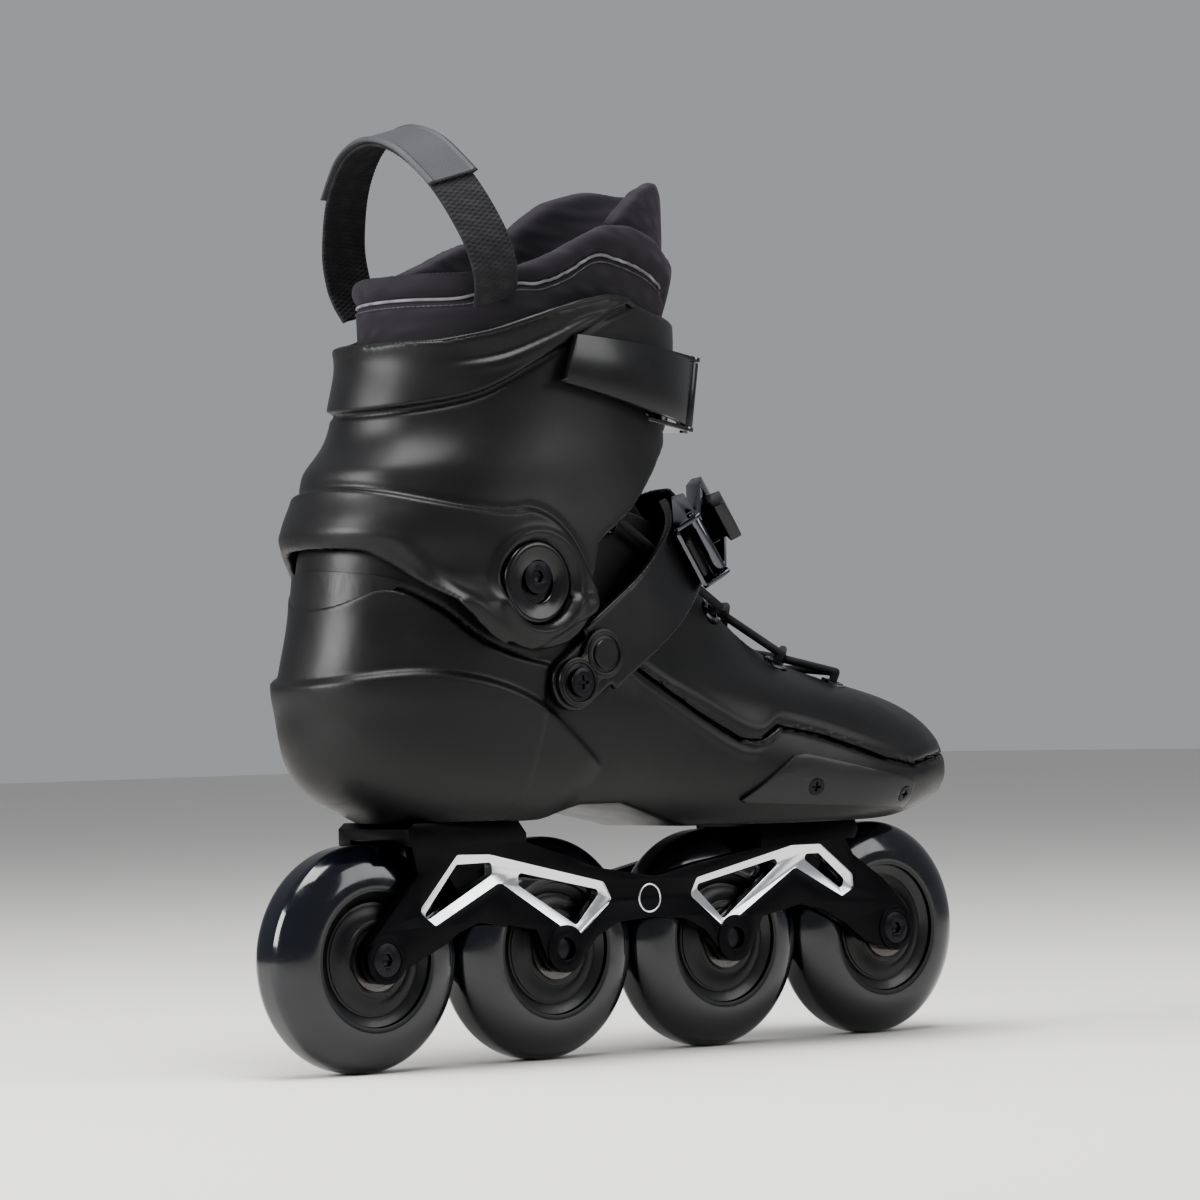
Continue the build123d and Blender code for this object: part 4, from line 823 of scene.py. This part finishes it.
webbing = ribbon("pull_loop_webbing", sideways(loop_path, 0.9), 1.6, 10.0, woven)
new_piece("pull_loop_webbing", webbing, "cuff", webbing_nylon, ("pull_loop",))
label_path = [(x, y) for x, y in sideways(loop_path, 2.65) if abs(x) < 32]


label_half_width = 11.5


def label_relief(length, across):
    """A raised border along both sides of the label."""
    return 0.45 if 1.2 < label_half_width - abs(across) < 2.4 else 0.0


label = ribbon("pull_loop_label", label_path, 1.3, label_half_width, label_relief, cell=0.5)
new_piece("pull_loop_label", label, "cuff", label_rubber, ("pull_label",))
print("loop points", len(webbing.vertices), "label points", len(label.vertices))

# %% [markdown]
# Small trim finishes the object: a plain bright ring on each side of the frame between the middle wheels, the
# turned caps of the cuff's pivots, rims and a disc on each strap link, and a plate on each side of a wheel's
# core. All are generic shapes.

# %% Rings and discs
def ring_mesh(name, centre, axis, radius, wire):
    """A thin ring with its centre and axis, in millimetres."""
    turn = Vector(axis).to_track_quat("Z", "Y")
    verts, faces = [], []
    around, tube = 64, 8
    for i in range(around):
        a = 2 * pi * i / around
        for k in range(tube):
            b = 2 * pi * k / tube
            out = radius + wire * cos(b)
            spot = Vector((out * cos(a), out * sin(a), 0.6 * wire * sin(b)))
            verts.append(tuple((Vector(centre) + turn @ spot) * mm))
    for i in range(around):
        for k in range(tube):
            n, m = (i + 1) % around, (k + 1) % tube
            faces.append((i * tube + k, n * tube + k, n * tube + m, i * tube + m))
    mesh = bpy.data.meshes.new(name)
    mesh.from_pydata(verts, [], faces)
    mesh.shade_smooth()
    return mesh


link_near, link_far = (-58.0, 134.8), (-46.0, 144.7)
cap_half = ((44.0, 4.3), (44.0, 14.9), (47.6, 14.9), (48.4, 14.2), (48.6, 13.2), (48.5, 12.0), (48.2, 11.2),
            (48.2, 7.6), (47.4, 6.9), (46.2, 6.7), (46.2, 4.3))
link_disc_half = ((48.4, 0.01), (48.4, 5.2), (49.5, 5.2), (49.9, 4.8), (49.9, 0.01))
core_disc_half = ((11.3, 11.3), (11.6, 12.6), (11.2, 14.2), (9.6, 15.4), (9.4, 19.0), (9.0, 19.0),
                  (9.0, 11.3))
link_face = 49.0
for side, word in ((-1, "outer"), (1, "inner")):
    ring = ring_mesh(f"frame_ring_{word}", (-1, side * (flange_out + 0.05), 56.5), (0, side, 0), 5.0, 0.45)
    new_piece(f"frame_ring_{word}", ring, "boot", milled)
    cap = turned_piece(f"pivot_cap_{word}", [(side * y, r) for y, r in cap_half], pivot_x, cap_z, 96)
    replaced = ("pivot_caps",) if side < 0 else ()
    cap_piece = new_piece(f"pivot_cap_{word}", cap, "cuff", lever_acetal, replaced)
    round_shading(cap_piece, 50)
    for spot, radius in ((link_near, 7.4), (link_far, 7.2)):
        name = f"link_rim_{word}_{round(-spot[0])}"
        rim = ring_mesh(name, (spot[0], side * link_face, spot[1]), (0, side, 0), radius, 0.7)
        new_piece(name, rim, "instep_strap", strap_urethane)
    disc_profile = [(side * y, r) for y, r in link_disc_half]
    disc = turned_piece(f"link_disc_{word}", disc_profile, link_far[0], link_far[1], 48)
    new_piece(f"link_disc_{word}", disc, "instep_strap", strap_urethane)
for number in range(1, 5):
    low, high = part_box(f"tyre_{number}")
    centre_x = (low[0] + high[0]) / 2 / mm
    for side, word in ((-1, "outer"), (1, "inner")):
        disc_profile = [(side * y, r) for y, r in core_disc_half]
        disc = turned_piece(f"core_disc_{number}_{word}", disc_profile, centre_x)
        plate = new_piece(f"core_disc_{number}_{word}", disc, f"wheel_{number}", core_nylon)
        round_shading(plate, 50)
print("rings made")

# %% [markdown]
# The stage is a plain pale floor under soft light: a large softbox above, one behind that rims the black
# plastic, and a weak one in front. The world is a pale grey.

# %% Floor, lights and camera
floor_mesh = bpy.data.meshes.new("floor")
reach = 6.0
corners = [(-reach, -reach, 0), (reach, -reach, 0), (reach, reach, 0), (-reach, reach, 0)]
floor_mesh.from_pydata(corners, [], [(0, 1, 2, 3)])
floor = bpy.data.objects.new("floor", floor_mesh)
bpy.context.scene.collection.objects.link(floor)
paper, _, _, paper_shader = start_material("paper_pale")
paper_shader.inputs["Base Color"].default_value = linear("e6e4e0")
paper_shader.inputs["Roughness"].default_value = 0.75
floor_mesh.materials.append(paper)

world = bpy.data.worlds.new("studio")
bpy.context.scene.world = world
world.use_nodes = True
world.node_tree.nodes["Background"].inputs["Color"].default_value = linear("e4e6ea")
world.node_tree.nodes["Background"].inputs["Strength"].default_value = 0.4
target = Vector((0, 0, 0.16))


def softbox(name, place, size, power):
    """A square area light that faces the skate."""
    lamp = bpy.data.lights.new(name, "AREA")
    lamp.size = size
    lamp.energy = power
    holder = bpy.data.objects.new(name, lamp)
    holder.location = place
    holder.rotation_euler = (target - Vector(place)).to_track_quat("-Z", "Y").to_euler()
    bpy.context.scene.collection.objects.link(holder)


softbox("softbox_top", (-0.25, -0.2, 1.5), 1.0, 30)
softbox("softbox_left", (-1.5, 0.25, 0.75), 0.8, 26)
softbox("softbox_right", (0.9, -1.3, 0.8), 0.8, 7)

yaw, pitch, roll = radians(40.30), radians(1.05), radians(-1.33)
ahead = Vector((sin(yaw) * cos(pitch), cos(yaw) * cos(pitch), sin(pitch)))
right = Vector((cos(yaw), -sin(yaw), 0))
up = right.cross(ahead)
level = right * cos(roll) + up * sin(roll)
upright = up * cos(roll) - right * sin(roll)
camera_data = bpy.data.cameras.new("camera")
camera_data.sensor_width = 36.0
camera_data.lens = 154.1
camera_place = Vector((-1.2156, -1.4259, 0.1305))
camera = bpy.data.objects.new("camera", camera_data)
turned = Matrix((level, upright, -ahead)).transposed().to_4x4()
camera.matrix_world = Matrix.Translation(camera_place) @ turned
bpy.context.scene.collection.objects.link(camera)
bpy.context.scene.camera = camera
bpy.context.scene.view_settings.view_transform = "AgX"
bpy.context.scene.view_settings.look = "AgX - Medium High Contrast"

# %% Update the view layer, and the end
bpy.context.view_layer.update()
